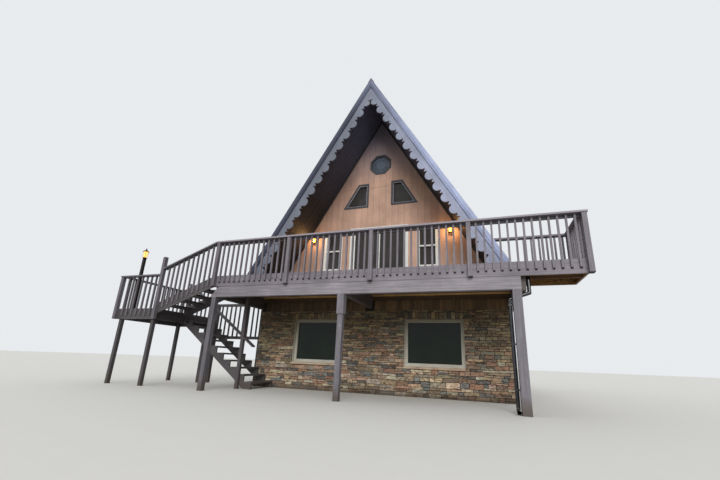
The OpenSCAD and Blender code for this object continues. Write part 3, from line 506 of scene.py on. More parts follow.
def timber(name, colour, bare, axis, wear=0.1, dirt=0.0, tints=False, streak=1.0, painted_haze=None, left_shade=None):
    """Painted or stained timber with its grain along one axis, worn where the grain is high, with a painted
    bluish haze and shade from the first height given up to the second, and painted shade that darkens it
    towards the left."""
    made, tree = finish_of(name)
    base = times(tree, own_tint(tree), colour) if tints else colour
    out = place(tree, weather, {"Grain": stretched(tree, along[axis]), "Paint": base,
                                "Bare": bare, "Wear": wear, "Streak": streak})
    coloured = out["Colour"]
    # painted haze and shade: bluish grey towards the top
    if painted_haze:
        start, full, grey = painted_haze
        ragged = reckon(tree, "MULTIPLY_ADD", noise(tree, 1.6, 5.0, 0.6), painted_haze_reach,
                        axis_in(tree, 2))
        haze_amount = spread(tree, ragged, start + painted_haze_reach / 2, full + painted_haze_reach / 2, 0.0, 0.8)
        coloured = blend(tree, haze_amount, coloured, grey)
    # painted shade: darker towards the left
    if left_shade:
        coloured = times(tree, coloured, spread(tree, axis_in(tree, 0), left_shade_start, left_shade_end, left_shade, 1.0))
    if dirt:
        coloured = place(tree, splash, {"Colour": coloured, "Reach": 0.3, "Amount": dirt})["Colour"]
    surface(tree, coloured, out["Roughness"], out["Height"], 0.0025)
    return made


lumber_x = timber("sawn_lumber_x", "6b4a2c", "8f6a42", "x", 0.14)
bare_ledger = timber("bare_ledger", "dcae6e", "b98546", "x", 0.16)
floor_band = timber("floor_band", "58432c", "7a5f3c", "z", 0.12)
coat(floor_band, "main_floor")
coat(lumber_x, "loft_floor", "deck_joists")
coat(bare_ledger, "ledger_board")
# rough upright boards close the wall between the stone and the floor, on all sides
left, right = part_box("stone_left_wall"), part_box("stone_right_wall")
skirt_t, skirt_gap, board_low, board_high = 0.03, 0.002, 0.06, 0.13
rng = np.random.default_rng(17)
crossings = [(c[0][0] - 2 * skirt_gap, c[1][0] + 2 * skirt_gap) for c in parts_of("cross_beams")]
strips = []
for axis, start, end, face, way in (
        (0, front[0][0], front[1][0], front[0][1], -1), (0, back[0][0], back[1][0], back[1][1], 1),
        (1, front[0][1], back[1][1], left[0][0], -1), (1, front[0][1], back[1][1], right[1][0], 1)):
    ends = np.cumsum(rng.uniform(board_low, board_high, int((end - start) / board_low))) + start
    ends = np.concatenate([[start], ends[ends < end - 0.03], [end]])
    for a, b in zip(ends[:-1] + skirt_gap, ends[1:] - skirt_gap):
        if face == front[0][1] and any(a < c1 and b > c0 for c0, c1 in crossings):
            continue
        out = face + way * (skirt_t + rng.uniform(-0.004, 0.002))
        low_face, high_face = min(out, face), max(out, face)
        z0 = stone_top + rng.uniform(-0.008, 0.004)
        strips.append((a, low_face, z0, b, high_face, wall_top) if axis == 0 else
                      (low_face, a, z0, high_face, b, wall_top))
skirt_wood = timber("skirt_wood", "765b3b", "ab8c5a", "z", 0.16, tints=True)
skirt_boards = eased_blocks("skirt_boards", strips, 0.003, skirt_wood)
# each board a random tone, times painted shade that darkens the boards towards the left
shade = rng.uniform(0.5, 1.1, len(strips)) * np.interp([s[0] for s in strips], (-3.6, 0.5), (0.5, 1.0))
tinted(skirt_boards, shade, 24)

concrete, tree = finish_of("concrete")
pores = noise(tree, 60.0, 5.0, 0.7)
surface(tree, blend(tree, noise(tree, 1.5, 4.0), "8b867e", "a39e95"),
        spread(tree, pores, 0.3, 0.7, 0.8, 0.95), pores, 0.002)
coat(concrete, "ground_slab")

# --- Gable walls ----------------------------------------------------------------------
# Stained plywood siding with a vertical groove every eight inches, in two lifts with a
# dark joint between them, fitted round every window; the same on the back.
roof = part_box("roof_right")
ridge_z, floor_z, foot = roof[1][2], roof[0][2], roof[1][0]
pitch = math.atan2(ridge_z - floor_z, foot)
roof_depth = 0.26
groove_pitch, groove_w, siding_t = 0.2032, 0.006, 0.010
joint_low, joint_high, least_plank = 6.236, 6.244, 0.0015
front_wall, back_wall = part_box("front_gable_wall"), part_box("back_gable_wall")
raked = parts_of("raked_windows")
sashes = parts_of("sash_windows")
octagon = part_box("octagon_window")
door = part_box("patio_door_frame")


def lower_upper(shape):
    """Lower and upper edge of a convex outline, each as x and z sorted along x; a slight shear
    keeps the ends of an upright side apart."""
    shape = np.asarray(shape, float)
    shape = shape + np.stack([shape[:, 1] * 1e-5, shape[:, 1] * 0], axis=1)
    first, last = shape[shape[:, 0].argmin()], shape[shape[:, 0].argmax()]
    line = np.interp(shape[:, 0], (first[0], last[0]), (first[1], last[1]))
    chains = []
    for keep in (shape[:, 1] <= line + 1e-6, shape[:, 1] >= line - 1e-6):
        part = shape[keep]
        chains.append(part[np.argsort(part[:, 0], kind="stable")])
    return chains


def raked_outline(pair, inset=0.0):
    """Outline of a window with a level head and sill, one upright side and one side along the roof."""
    (x0, _, z0), (x1, _, z1) = pair
    near, far = (x0, x1) if x0 > 0 else (-x1, -x0)
    side = 1 if x0 > 0 else -1
    lean = 1 / math.tan(pitch)
    slant = inset / math.sin(pitch)
    outline = [(near + inset, z0 + inset), (far - slant - inset * lean, z0 + inset),
               (far - slant - (z1 - z0 - inset) * lean, z1 - inset), (near + inset, z1 - inset)]
    return [(side * x, z) for x, z in (outline if side > 0 else outline[::-1])]


def octagon_outline(inset=0.0):
    """Corners of an octagon that stands on a flat side, drawn in by the inset."""
    middle_z = (octagon[0][2] + octagon[1][2]) / 2
    radius = ((octagon[1][0] - octagon[0][0]) / 2 - inset) / math.cos(math.pi / 8)
    turns = math.pi / 8 + np.arange(8) * math.pi / 4
    return np.stack([radius * np.cos(turns), middle_z + radius * np.sin(turns)], axis=1)


def block_faces(count=1):
    """The six sides of each block; its corners are two rings of four, one behind the other."""
    sides = np.array([(0, 1, 2, 3), (7, 6, 5, 4), (0, 4, 5, 1), (1, 5, 6, 2), (2, 6, 7, 3), (3, 7, 4, 0)])
    return (np.arange(count)[:, None, None] * 8 + sides).reshape(-1, 4).tolist()


def planks(name, y0, y1, holes):
    """Siding as prisms between x cuts: at each cut the wall's height is the roof line, and each hole
    takes away the stretch between its lower and upper edge, so a plank is a column of trapezoids."""
    under = foot - roof_depth / math.sin(pitch)
    cuts = [-under, 0.0, under]
    grooves = np.arange(-18, 19) * groove_pitch
    cuts += [g + s * groove_w / 2 for g in grooves for s in (-1, 1)]
    for hole in holes:
        cuts += [float(p[0]) for p in hole]
    cuts = np.unique(np.round(np.clip(cuts, -under, under), 5))
    chains = [lower_upper(h) for h in holes]
    prisms = []
    for a, b in zip(cuts[:-1], cuts[1:]):
        mid = (a + b) / 2
        if b - a < least_plank or np.abs(grooves - mid).min() < groove_w / 2:
            continue
        ends = np.array([a, b])
        roof_line = ridge_z - roof_depth / math.cos(pitch) - np.abs(ends) * math.tan(pitch)
        solid = [(np.full(2, floor_z), np.maximum(roof_line, floor_z))]
        for lower, upper in chains:
            if lower[0, 0] < mid < lower[-1, 0]:
                inside = np.clip(ends, lower[0, 0] + 2e-4, lower[-1, 0] - 2e-4)
                h0, h1 = [np.interp(inside, edge[:, 0], edge[:, 1]) for edge in (lower, upper)]
                split = []
                for s0, s1 in solid:
                    if (h0 < s1).any() and (h1 > s0).any():
                        split += [(s0, np.minimum(h0, s1)), (np.maximum(h1, s0), s1)]
                    else:
                        split.append((s0, s1))
                solid = split
        lifts = []
        for s0, s1 in solid:
            if s0.max() < joint_low and s1.min() > joint_high:
                lifts += [(s0, np.full(2, joint_low)), (np.full(2, joint_high), s1)]
            else:
                lifts.append((s0, s1))
        prisms += [(a, b, *s0, *s1) for s0, s1 in lifts if (s1 - s0).max() > 2 * least_plank]
    p = np.array(prisms)
    corners = np.stack([p[:, [0, 2]], p[:, [1, 3]], p[:, [1, 5]], p[:, [0, 4]]], axis=1)
    points = np.concatenate([np.insert(corners, 1, y, axis=2) for y in (y0, y1)], axis=1)
    made = mesh_piece(name, points, block_faces(len(p)), siding)
    number = np.floor(p[:, :2].mean(axis=1) / groove_pitch).astype(int) + 40
    tinted(made, np.random.default_rng(5).uniform(0.9, 1.08, 80)[number], 8)
    return made


# painted bluish haze and shade darken the siding towards the apex
siding = timber("siding_stain", "c29c87", "d2b09a", "z", 0.0, tints=True, streak=0.25,
                painted_haze=(6.4, 8.25, "7e819a"))


def repainted(finish, change):
    """Passes a finish's colour through one more step, which takes the tree and the colour."""
    tree = finish.node_tree
    base = tree.nodes["Principled BSDF"].inputs["Base Color"]
    tree.links.new(change(tree, base.links[0].from_socket), base)


def shaded_by_roof(tree, colour):
    """Painted shade: the stain darkens beside the soffits, under the roof's overhang, and more on the left:
    a shade that fades with the distance below each slope of the roof."""
    for side, reach, least in ((-1, 1.2, 0.62), (1, 0.5, 0.8)):
        across = reckon(tree, "MULTIPLY_ADD", axis_in(tree, 0), -side * math.sin(pitch),
                        ridge_z * math.cos(pitch) - roof_depth)
        below = reckon(tree, "MULTIPLY_ADD", axis_in(tree, 2), -math.cos(pitch), across)
        colour = times(tree, colour, spread(tree, below, 0.0, reach, least, 1.0))
    return colour


repainted(siding, shaded_by_roof)
holes = [octagon_outline()] + [raked_outline(r) for r in raked if r[0][1] < 0]
holes += [boxed(s) for s in sashes if s[0][1] < 0] + [boxed(door)]
front_siding = planks("front_siding", front_wall[0][1] - siding_t, front_wall[0][1] + overlap, holes)
holes = [raked_outline(r) for r in raked if r[0][1] > 0] + [boxed(s) for s in sashes if s[0][1] > 0]
back_siding = planks("back_siding", back_wall[1][1] - overlap, back_wall[1][1] + siding_t, holes)
coat(timber("siding_groove", "8d664e", "96705a", "z", 0.0), "front_gable_wall", "back_gable_wall")

# --- Upper windows and patio door -----------------------------------------------------
# Wood-framed fixed lights painted dark, with a pale glazing bead; white vinyl sashes and
# a white sliding door; the octagon holds leaded glass with a small octagon at its middle.
coat(timber("dark_trim", "3d3e45", "5a544d", "x", 0.04), "octagon_window", "raked_windows")
coat(timber("soffit_trim", "2b2726", "3b332c", "z", 0.04), "soffit_trim")
vinyl, tree = finish_of("white_vinyl")
film = noise(tree, 3.0, 5.0, 0.65)
colour = blend(tree, spread(tree, film, 0.4, 0.75, 0.0, 0.4), "dcdeda", "b9b7ab")
surface(tree, colour, spread(tree, film, 0.3, 0.7, 0.32, 0.5), film, 0.0005)
coat(vinyl, "sash_windows", "patio_door_frame", "patio_door_panels")

frame_in, bead_w, bead_t, bead_set = 0.058, 0.020, 0.034, 0.014
bead_paint = timber("glazing_bead", "97949a", "77747a", "x", 0.04)
beads = []
for r in raked:
    face = r[0][1] + bead_set if r[0][1] < 0 else r[1][1] - bead_set - bead_t
    beads.append(flat_frame(raked_outline(r, frame_in - 0.001), raked_outline(r, frame_in + bead_w),
                            face, face + bead_t))
raked_beads = closed_piece("raked_beads", beads, bead_paint)

pane_edge, small_edge, lead_w, lead_t = 0.066, 0.195, 0.010, 0.010
oct_face = octagon[0][1] + 0.045
lead_paint = timber("lead_came", "2b2f36", "4c5460", "x", 0.05)
outer_ring, inner_ring = octagon_outline(pane_edge), octagon_outline(small_edge)
leads = [flat_frame(octagon_outline(0.060), octagon_outline(0.072), oct_face, oct_face + 0.012),
         flat_frame(octagon_outline(0.19), octagon_outline(0.20), oct_face, oct_face + lead_t)]
for corner_in, corner_out in zip(inner_ring, outer_ring):
    way = corner_out - corner_in
    across = np.array([-way[1], way[0]]) / np.hypot(*way) * lead_w / 2
    strip = np.array([corner_in - across, corner_out - across, corner_out + across, corner_in + across])
    leads.append((np.concatenate([np.insert(strip, 1, y, axis=1) for y in (oct_face, oct_face + lead_t)]),
                  block_faces()))
octagon_leads = closed_piece("octagon_leads", leads, lead_paint)
# obscure glass between the leads: eight wedges round a small octagon, each with its own tone
obscure, tree = finish_of("obscure_glass")
pebbles = noise(tree, 55.0, 2.0, 0.4)
surface(tree, blend(tree, pebbles, own_tint(tree), times(tree, own_tint(tree), "8d96a6")),
        spread(tree, pebbles, 0.3, 0.7, 0.12, 0.35), pebbles, 0.004)
rng = np.random.default_rng(7)
next_outer, next_inner = np.roll(outer_ring, -1, axis=0), np.roll(inner_ring, -1, axis=0)
cells = list(np.stack([inner_ring, outer_ring, next_outer, next_inner], axis=1)) + [inner_ring]
glasses, tones = [], []
for cell in cells:
    m = len(cell)
    turn = [(k, k + m, (k + 1) % m + m, (k + 1) % m) for k in range(m)]
    glasses.append((np.concatenate([np.insert(cell, 1, oct_face + y, axis=1) for y in (0.002, 0.008)]),
                    [tuple(range(m)), tuple(range(2 * m - 1, m - 1, -1))] + turn))
    tones += [rng.uniform(0.7, 1.25) if m == 4 else 1.35] * 2 * m
octagon_lights = closed_piece("octagon_lights", glasses, obscure)
tinted(octagon_lights, np.array(tones)[:, None] * np.array(paint("5a6572")[:3]), 1)

# inner sashes: a narrow white bead round each pane
sash_edge, meeting_rail, sash_bead, sash_t, sash_set = 0.072, 0.04, 0.009, 0.02, 0.035
sash_bits = []
for (x0, y0, z0), (x1, y1, z1) in sashes:
    face = y0 + sash_set if y0 < 0 else y1 - sash_set - sash_t
    mid = (z0 + z1) / 2
    for a, b in ((z0 + sash_edge, mid - meeting_rail / 2), (mid + meeting_rail / 2, z1 - sash_edge)):
        pane = np.array([(x0 + sash_edge, 0, a), (x1 - sash_edge, 0, b)])
        inner = pane + np.array([[sash_bead], [-sash_bead]])
        sash_bits.append(flat_frame(boxed(pane), boxed(inner), face, face + sash_t))
inner_sashes = closed_piece("inner_sashes", sash_bits, vinyl)

# the door's pull: an upright grip on two short stems, where the panels meet
pull_y, grip_low, grip_high = parts_of("patio_door_panels")[1][0][1], 3.78, 4.02
grip = (-0.014, pull_y - 0.034, grip_low, 0.014, pull_y - 0.022, grip_high)
stems = [(-0.010, pull_y - 0.024, z, 0.010, pull_y + 0.001, z + 0.03)
         for z in (grip_low + 0.02, grip_high - 0.05)]
door_pull = eased_blocks("door_pull", [grip] + stems, 0.003, vinyl)

# --- Wall lamps -----------------------------------------------------------------------
# Black metal lanterns on a wall plate: seeded glass that glows warm between four ribs, under
# a flared hood with a small ball on top. They are lit.
lamps = parts_of("wall_lamps")
lamp_metal, tree = finish_of("lamp_metal")
grain = noise(tree, 120.0, 4.0)
surface(tree, blend(tree, grain, "1c1a19", "38332f"),
        spread(tree, grain, 0.2, 0.8, 0.35, 0.6), grain, 0.0006, Metallic=0.6)


def lit_glass(name, deep, pale, strength):
    """Seeded glass that glows in two warm colours."""
    made, tree = finish_of(name)
    warm = blend(tree, noise(tree, 30.0), deep, pale)
    surface(tree, warm, 0.3, Emission_Strength=strength, Emission_Color=warm)
    return made


def turned(profile, centre, sides=16):
    """Surface of revolution: each radius and height of the profile becomes a ring of points round
    the centre's axis; ends of zero radius close it."""
    profile = np.asarray(profile, float)
    angle = np.arange(sides) * 2 * math.pi / sides
    m = len(profile)
    points = np.stack([profile[:, :1] * np.cos(angle), profile[:, :1] * np.sin(angle),
                       profile[:, 1:] * np.ones(sides)], axis=2) + np.asarray(centre, float)
    r, c = np.arange(m - 1)[:, None], np.arange(sides)[None]
    d = (c + 1) % sides
    faces = np.stack([r * sides + c, r * sides + d, (r + 1) * sides + d, (r + 1) * sides + c], axis=2)
    faces = faces.reshape(-1, 4).tolist()
    faces += [list(range(sides))[::-1], list(range((m - 1) * sides, m * sides))]
    return points.reshape(-1, 3), faces


# radius and height of each turned part of a lantern, with the lantern's size as one
hood_profile = [(0.30, 0.40), (0.48, 0.39), (0.46, 0.44), (0.20, 0.66), (0.10, 0.76),
                (0.08, 0.84), (0.02, 0.86)]
ball_profile = [(0.02, 0.82), (0.09, 0.88), (0.09, 0.96), (0.02, 1.02)]
base_profile = [(0.05, -0.84), (0.12, -0.78), (0.31, -0.70), (0.33, -0.64), (0.20, -0.62)]
glass_profile = [(0.02, -0.62), (0.25, -0.62), (0.35, 0.36), (0.02, 0.38)]


def lantern(centre, size):
    """Metal and glass of one lantern as points and faces: hood, ball, base, four ribs; the glass."""
    metal = [turned(np.array(profile) * size, centre, sides)
             for profile, sides in ((hood_profile, 16), (ball_profile, 10), (base_profile, 16))]
    glass = turned(np.array(glass_profile) * size, centre, 12)
    for k in range(4):
        turn = math.pi / 4 + k * math.pi / 2
        out, side = np.array([math.cos(turn), math.sin(turn)]), np.array([-math.sin(turn), math.cos(turn)])
        ring = []
        for reach, z in ((0.29, -0.68), (0.40, 0.42)):
            for a, b in ((-0.02, -0.02), (0.02, -0.02), (0.02, 0.02), (-0.02, 0.02)):
                xy = out * (reach + a) * size + side * b * size
                ring.append((centre[0] + xy[0], centre[1] + xy[1], centre[2] + z * size))
        metal.append((np.array(ring), block_faces()))
    return metal, glass


def plain_block(low, high):
    """Corners and sides of an upright block: a ring of four at its low corner's height, then one
    at its high corner's."""
    (x0, y0, z0), (x1, y1, z1) = low, high
    return [(x, y, z) for z in (z0, z1) for x, y in ((x0, y0), (x1, y0), (x1, y1), (x0, y1))], block_faces()


lamp_w = 0.156
plate = np.array([(-0.3, -0.1, -0.55), (0.3, 0.0, 0.62)])
arm = np.array([(-0.08, -0.62, 0.46), (0.08, -0.1, 0.58)])
metal, glow = [], []
for low_corner, high_corner in lamps:
    x = (low_corner[0] + high_corner[0]) / 2
    wall_y, z = high_corner[1] - siding_t, high_corner[2] - 0.89 * lamp_w
    body, glass = lantern((x, wall_y - 0.6 * lamp_w + siding_t, z), lamp_w * 0.96)
    metal += body + [plain_block(*(part * lamp_w + (x, wall_y, z))) for part in (plate, arm)]
    glow.append(glass)
lamp_bodies = closed_piece("lamp_bodies", metal, lamp_metal)
lamp_glasses = closed_piece("lamp_glasses", glow, lit_glass("lamp_glow", "ff9428", "ffb850", 8.0))
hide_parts("wall_lamps")
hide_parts("wall_lamps")

# --- Roof -----------------------------------------------------------------------------
# Two slopes of asphalt shingles in courses that overlap down the slope, each tab its own
# thickness and shade; folded shingles cap the ridge, boards close the overhang below.
roof_y0, roof_y1 = roof[0][1], roof[1][1]
slope_len = math.hypot(foot, ridge_z - floor_z)
exposure, tab_low, tab_high, tab_gap, least_tab = 0.142, 0.17, 0.36, 0.003, 0.04
shingle, tree = finish_of("asphalt_shingle")
granule = noise(tree, 260.0, 3.0, 0.8)
cloud = noise(tree, 0.7, 5.0)
colour = times(tree, own_tint(tree), spread(tree, granule, 0.3, 0.7, 0.66, 1.3))
colour = blend(tree, spread(tree, cloud, 0.45, 0.75, 0.0, 0.35), colour, "5d5a4c")
surface(tree, colour, 0.92, granule, 0.002)


def on_slope(s, y, h, side):
    """Point s down the slope from the ridge, h proud of it, on the right (1) or left (-1)."""
    x = s * math.cos(pitch) + h * math.sin(pitch)
    z = ridge_z - s * math.sin(pitch) + h * math.cos(pitch)
    return np.stack([side * x, y, z], axis=-1)


rng = np.random.default_rng(23)
charcoal = np.array([paint(h)[:3] for h in ("3a3a3d", "47464a", "2f2f33", "504c4a", "403d3c")])
for side, name in ((1, "shingles_right"), (-1, "shingles_left")):
    tabs = []
    for k in range(int(slope_len / exposure)):
        ends = np.cumsum(rng.uniform(tab_low, tab_high, int((roof_y1 - roof_y0) / tab_low) + 2))
        ends += roof_y0 - rng.uniform(0.1, 0.3)
        ends = ends[(ends > roof_y0 + least_tab) & (ends < roof_y1 - least_tab)]
        ends = np.concatenate([[roof_y0], ends, [roof_y1]])
        row = np.full(len(ends) - 1, slope_len - k * exposure)
        tabs.append(np.stack([row, ends[:-1] + tab_gap, ends[1:] - tab_gap], axis=1))
    line, y0, y1 = np.concatenate(tabs).T
    n = len(line)
    butt = line - rng.uniform(0.0, 0.004, n)
    top = np.maximum(line - exposure * 1.25, 0.0)
    thick = rng.uniform(0.004, 0.008, n)
    under = np.full(n, -0.002)
    s = np.stack([top, butt, butt, top] * 2, axis=1)
    y = np.stack([y0, y0, y1, y1] * 2, axis=1)
    h = np.stack([under, under, under, under, under + 0.003, thick, thick, under + 0.003], axis=1)
    made = closed_piece(name, [(on_slope(s, y, h, side), block_faces(n))], shingle)
    tinted(made, charcoal[rng.integers(0, 5, n)] * rng.uniform(0.86, 1.12, (n, 1)), 8)

# each folded shingle is six points at its raised front end and six at its low rear end
cap_w, cap_step, cap_t = 0.17, 0.2, 0.009
cap_y0, cap_y1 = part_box("ridge_cap")[0][1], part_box("ridge_cap")[1][1]
cap_n = round((cap_y1 - cap_y0) / cap_step)
cap_step = (cap_y1 - cap_y0) / cap_n
cap_sides = [(0, 1, 7, 6), (1, 2, 8, 7), (3, 9, 10, 4), (4, 10, 11, 5), (0, 3, 4, 1), (1, 4, 5, 2),
             (6, 7, 10, 9), (7, 8, 11, 10), (0, 6, 9, 3), (2, 5, 11, 8)]
caps = []
for ya in cap_y0 + np.arange(cap_n) * cap_step:
    rings = [(y, h) for y, lift in ((ya, 0.012), (min(ya + cap_step * 1.3, cap_y1), 0.003))
             for h in (lift, lift - cap_t)]
    caps.append(([point for y, h in rings for point in (
        on_slope(cap_w, y, h, -1), (0.0, y, ridge_z + h / math.cos(pitch)),
        on_slope(cap_w, y, h, 1))], cap_sides))
ridge_shingles = closed_piece("ridge_shingles", caps, shingle)
tinted(ridge_shingles, charcoal[rng.integers(0, 3, cap_n)] * 0.8, 12)
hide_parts("ridge_cap")

# the soffit boards turn a lighter bluish grey towards the ridge as a painted haze
soffit_paint = timber("soffit_boards", "242122", "443c38", "y", 0.03, tints=True,
                      painted_haze=(5.4, 8.6, "686a84"))
coat(soffit_paint, "roof_left", "roof_right")
soffit_w, soffit_t, soffit_gap = 0.2, 0.009, 0.004
s0 = (roof_depth + soffit_t) * math.tan(pitch) + 0.01
s1 = (ridge_z - floor_z - (roof_depth + 0.01) * math.cos(pitch)) / math.sin(pitch) - 0.01
s = np.array([s0, s1, s1, s0] * 2)
h = -roof_depth - np.array([soffit_t] * 4 + [-overlap] * 4)
for side, name in ((1, "soffit_right"), (-1, "soffit_left")):
    parts = []
    for y_start, y_end in ((roof_y0 + overlap, front_wall[0][1]), (back_wall[1][1], roof_y1 - overlap)):
        edge = np.linspace(y_start, y_end, max(1, round((y_end - y_start) / soffit_w)) + 1)
        parts += [(on_slope(s, np.array([ya, ya, yb, yb] * 2), h, side), block_faces())
                  for ya, yb in zip(edge[:-1] + soffit_gap, edge[1:] - soffit_gap)]
    made = closed_piece(name, parts, soffit_paint)
    tinted(made, rng.uniform(0.8, 1.1, len(parts)), 8)
for node in ("roof_left", "roof_right"):
    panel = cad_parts[node]
    tinted(panel, [0.8], len(panel.data.vertices))

# --- Gable boards ---------------------------------------------------------------------
# A plain fascia board with two bead grooves over a wider board sawn into round scallops with a small tooth
# between them; old bluish paint, lighter and bluer on the right as painted light and darker on the left as
# painted shade.
slope_run, given, gives = effect("slope_run", [("Along", "f"), ("Across", "f")], [("Grain", "v")])
mirrored = put(slope_run, "ShaderNodeCombineXYZ", {
    0: reckon(slope_run, "ABSOLUTE", axis_in(slope_run, 0)), 1: axis_in(slope_run, 1),
    2: axis_in(slope_run, 2)}).outputs[0]
on_board = put(slope_run, "ShaderNodeVectorRotate", {
    "Vector": mirrored, "Axis": (0, 1, 0), "Angle": -pitch}, rotation_type="AXIS_ANGLE").outputs[0]
ways = put(slope_run, "ShaderNodeSeparateXYZ", {0: on_board}).outputs
ways = [reckon(slope_run, "MULTIPLY", way, given[scale])
        for way, scale in zip(ways, ("Along", "Across", "Across"))]
grain = put(slope_run, "ShaderNodeCombineXYZ", enumerate(ways)).outputs[0]
slope_run.links.new(grain, gives["Grain"])


def gable_timber(name, painted_shade_colour, painted_light_colour, bare, wear):
    """Painted board along the roof slope, its grain turned with the slope on both sides; its paint goes
    from the painted shade colour on the left to the painted light colour on the right."""
    made, tree = finish_of(name)
    side = spread(tree, axis_in(tree, 0), -0.6, 1.5)
    grain = place(tree, slope_run, {"Along": 1.5, "Across": 38.0})["Grain"]
    out = place(tree, weather, {"Grain": grain, "Paint": blend(tree, side, painted_shade_colour, painted_light_colour),
                                "Bare": bare, "Wear": wear, "Streak": 0.7})
    surface(tree, out["Colour"], out["Roughness"], out["Height"], 0.0025)
    return made


fascia_paint = gable_timber("fascia_paint", "3b3e52", "a8b2d2", "8b90a4", 0.05)
scallop_paint = gable_timber("scallop_paint", "6d727f", "9aa0b7", "9a9ca8", 0.07)
coat(scallop_paint, "front_scalloped_board", "back_scalloped_board")
# the fascia's section: distance below the roof's surface, and depth of the two bead grooves
fascia_w = 0.150
fascia_section = [(0.0, 0.0), (0.098, 0.0), (0.100, 0.010), (0.106, 0.010), (0.108, 0.0), (0.124, 0.0),
                  (0.126, 0.010), (0.132, 0.010), (0.134, 0.003), (fascia_w, 0.003)]


def moulded_rake(name, node, front_side):
    """The fascia's section, from the roof down to its lower edge with two grooves, carried from
    the foot of the slope to the ridge, where both halves meet in a mitre."""
    y0, y1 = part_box(node)[0][1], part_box(node)[1][1]
    face, rear, sign = (y0, y1, 1) if front_side else (y1, y0, -1)
    loop = [(p, face + sign * d) for p, d in fascia_section] + [(fascia_w, rear), (0.0, rear)]
    p, y = np.array(loop).T
    foot_at = np.stack([foot - p / math.sin(pitch), y, np.full(len(p), floor_z)], axis=1)
    ridge_at = np.stack([np.zeros(len(p)), y, ridge_z - p / math.cos(pitch)], axis=1)
    m = len(p)
    points = np.concatenate([foot_at, ridge_at, foot_at * (-1, 1, 1)])
    i, j = np.arange(m), (np.arange(m) + 1) % m
    faces = [q for a in (0, m) for q in np.stack([a + i, a + j, a + m + j, a + m + i], axis=1).tolist()]
    faces += [list(range(m)), list(range(2 * m, 3 * m))]
    made = closed_piece(name, [(points, faces)], fascia_paint)
    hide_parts(node)


moulded_rake("front_fascia", "front_rake_board", True)
moulded_rake("back_fascia", "back_rake_board", False)

# a thin dark T-shaped plate on the joint of the two scalloped halves under the ridge, as painted shade of
# the dark slot where they meet
tee_z, tee_y, tee_t = 8.532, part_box("front_scalloped_board")[0][1], 0.004
peak_dark_tee = eased_blocks("peak_dark_tee", [
    (-0.072, tee_y - tee_t, tee_z - 0.024, 0.072, tee_y + overlap, tee_z),
    (-0.026, tee_y - tee_t, tee_z - 0.17, 0.026, tee_y + overlap, tee_z - 0.0241)],
    0.001, lamp_metal)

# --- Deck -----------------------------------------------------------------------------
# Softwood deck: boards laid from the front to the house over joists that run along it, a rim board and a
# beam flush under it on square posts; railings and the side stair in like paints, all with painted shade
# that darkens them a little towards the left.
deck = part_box("deck_boards")
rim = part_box("deck_rim")
wing_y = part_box("right_railing")[1][1] - 0.02
floor_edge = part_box("main_floor")[1][0]
board_w, board_gap, least_board = 0.14, 0.006, 0.03
rng = np.random.default_rng(31)
boards = []
for x0 in np.arange(deck[0][0], deck[1][0], board_w + board_gap):
    x1 = min(x0 + board_w, deck[1][0])
    if x1 - x0 > least_board:
        end = deck[1][1] if x1 < floor_edge - 0.03 else wing_y - 0.04
        boards.append((x0, deck[0][1], deck[0][2], x1, end, deck[1][2]))
deck_paint_y = timber("deck_paint_y", "7a7176", "9a7a58", "y", 0.2, tints=True)
deck_planks = eased_blocks("deck_planks", boards, 0.003, deck_paint_y)
tinted(deck_planks, rng.uniform(0.85, 1.12, len(boards)), 24)
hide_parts("deck_boards")

# every paint outside: its colour, its worn colour, its grain, how worn and how splashed it is
# painted shade: each outdoor paint darkens towards the left to this share
deck_left_shade = 0.74
outdoor = {name: timber(name, colour, worn_colour, axis, wear, dirt, left_shade=deck_left_shade)
           for name, colour, worn_colour, axis, wear, dirt in (
               ("rim_paint", "837c84", "9a9397", "x", 0.10, 0.0),
               ("beam_paint", "8d878d", "a09aa0", "x", 0.08, 0.0),
               ("rail_paint_x", "544e55", "7a747b", "x", 0.14, 0.0),
               ("upright_paint", "7a747b", "938c92", "z", 0.13, 0.0),
               ("baluster_paint", "7a747b", "938c92", "z", 0.13, 0.0),
               ("rail_post_paint", "7a747b", "938c92", "z", 0.13, 0.0),
               ("post_paint", "747077", "9a97a0", "z", 0.22, 0.75),
               ("cross_beam_stain", "5d5654", "736a62", "y", 0.10, 0.0),
               # the stair, stringer and leg paints are the railing paint darkened, as painted shade
               ("stair_paint", "5f5a5c", "7b7570", "y", 0.18, 0.6),
               ("stringer_paint", "5f5a5d", "78736f", "x", 0.14, 0.6),
               ("leg_paint", "5a5557", "736d69", "z", 0.14, 0.7))}
for name, nodes in (
        ("rim_paint", ["deck_rim"]), ("beam_paint", ["deck_beam"]), ("rail_paint_x", ["front_rail_cap"]),
        ("upright_paint", ["right_railing", "rear_railing", "newel_post", "upper_flight_railing",
                           "platform_front_railing", "platform_side_railing", "platform_back_railing"]),
        ("baluster_paint", ["front_balusters"]), ("rail_post_paint", ["front_rail_posts"]),
        ("post_paint", ["post_left", "post_centre", "post_right", "centre_post_wrap"]),
        ("cross_beam_stain", ["cross_beams"]),
        ("stair_paint", ["upper_treads", "lower_treads", "side_platform"]),
        ("stringer_paint", ["upper_stringers", "lower_stringers", "lower_handrail"]),
        ("leg_paint", ["platform_legs", "guard_panel"])):
    coat(outdoor[name], *nodes)


def banded(finish, offset, slope, half, shade="191617", amount=0.9):
    """Blends a colour into a finish where a point's height is within half of offset + slope times its
    depth: a dark joint between two boards, painted shade on cut ends that lie in one slanting plane, a
    painted highlight along a top edge, a painted shadow line under it."""
    def band(tree, colour):
        plane = reckon(tree, "MULTIPLY_ADD", axis_in(tree, 1), slope, offset)
        away = reckon(tree, "ABSOLUTE", reckon(tree, "SUBTRACT", axis_in(tree, 2), plane))
        return blend(tree, spread(tree, away, half * 0.7, half, amount, 0.0), colour, shade)

    repainted(finish, band)


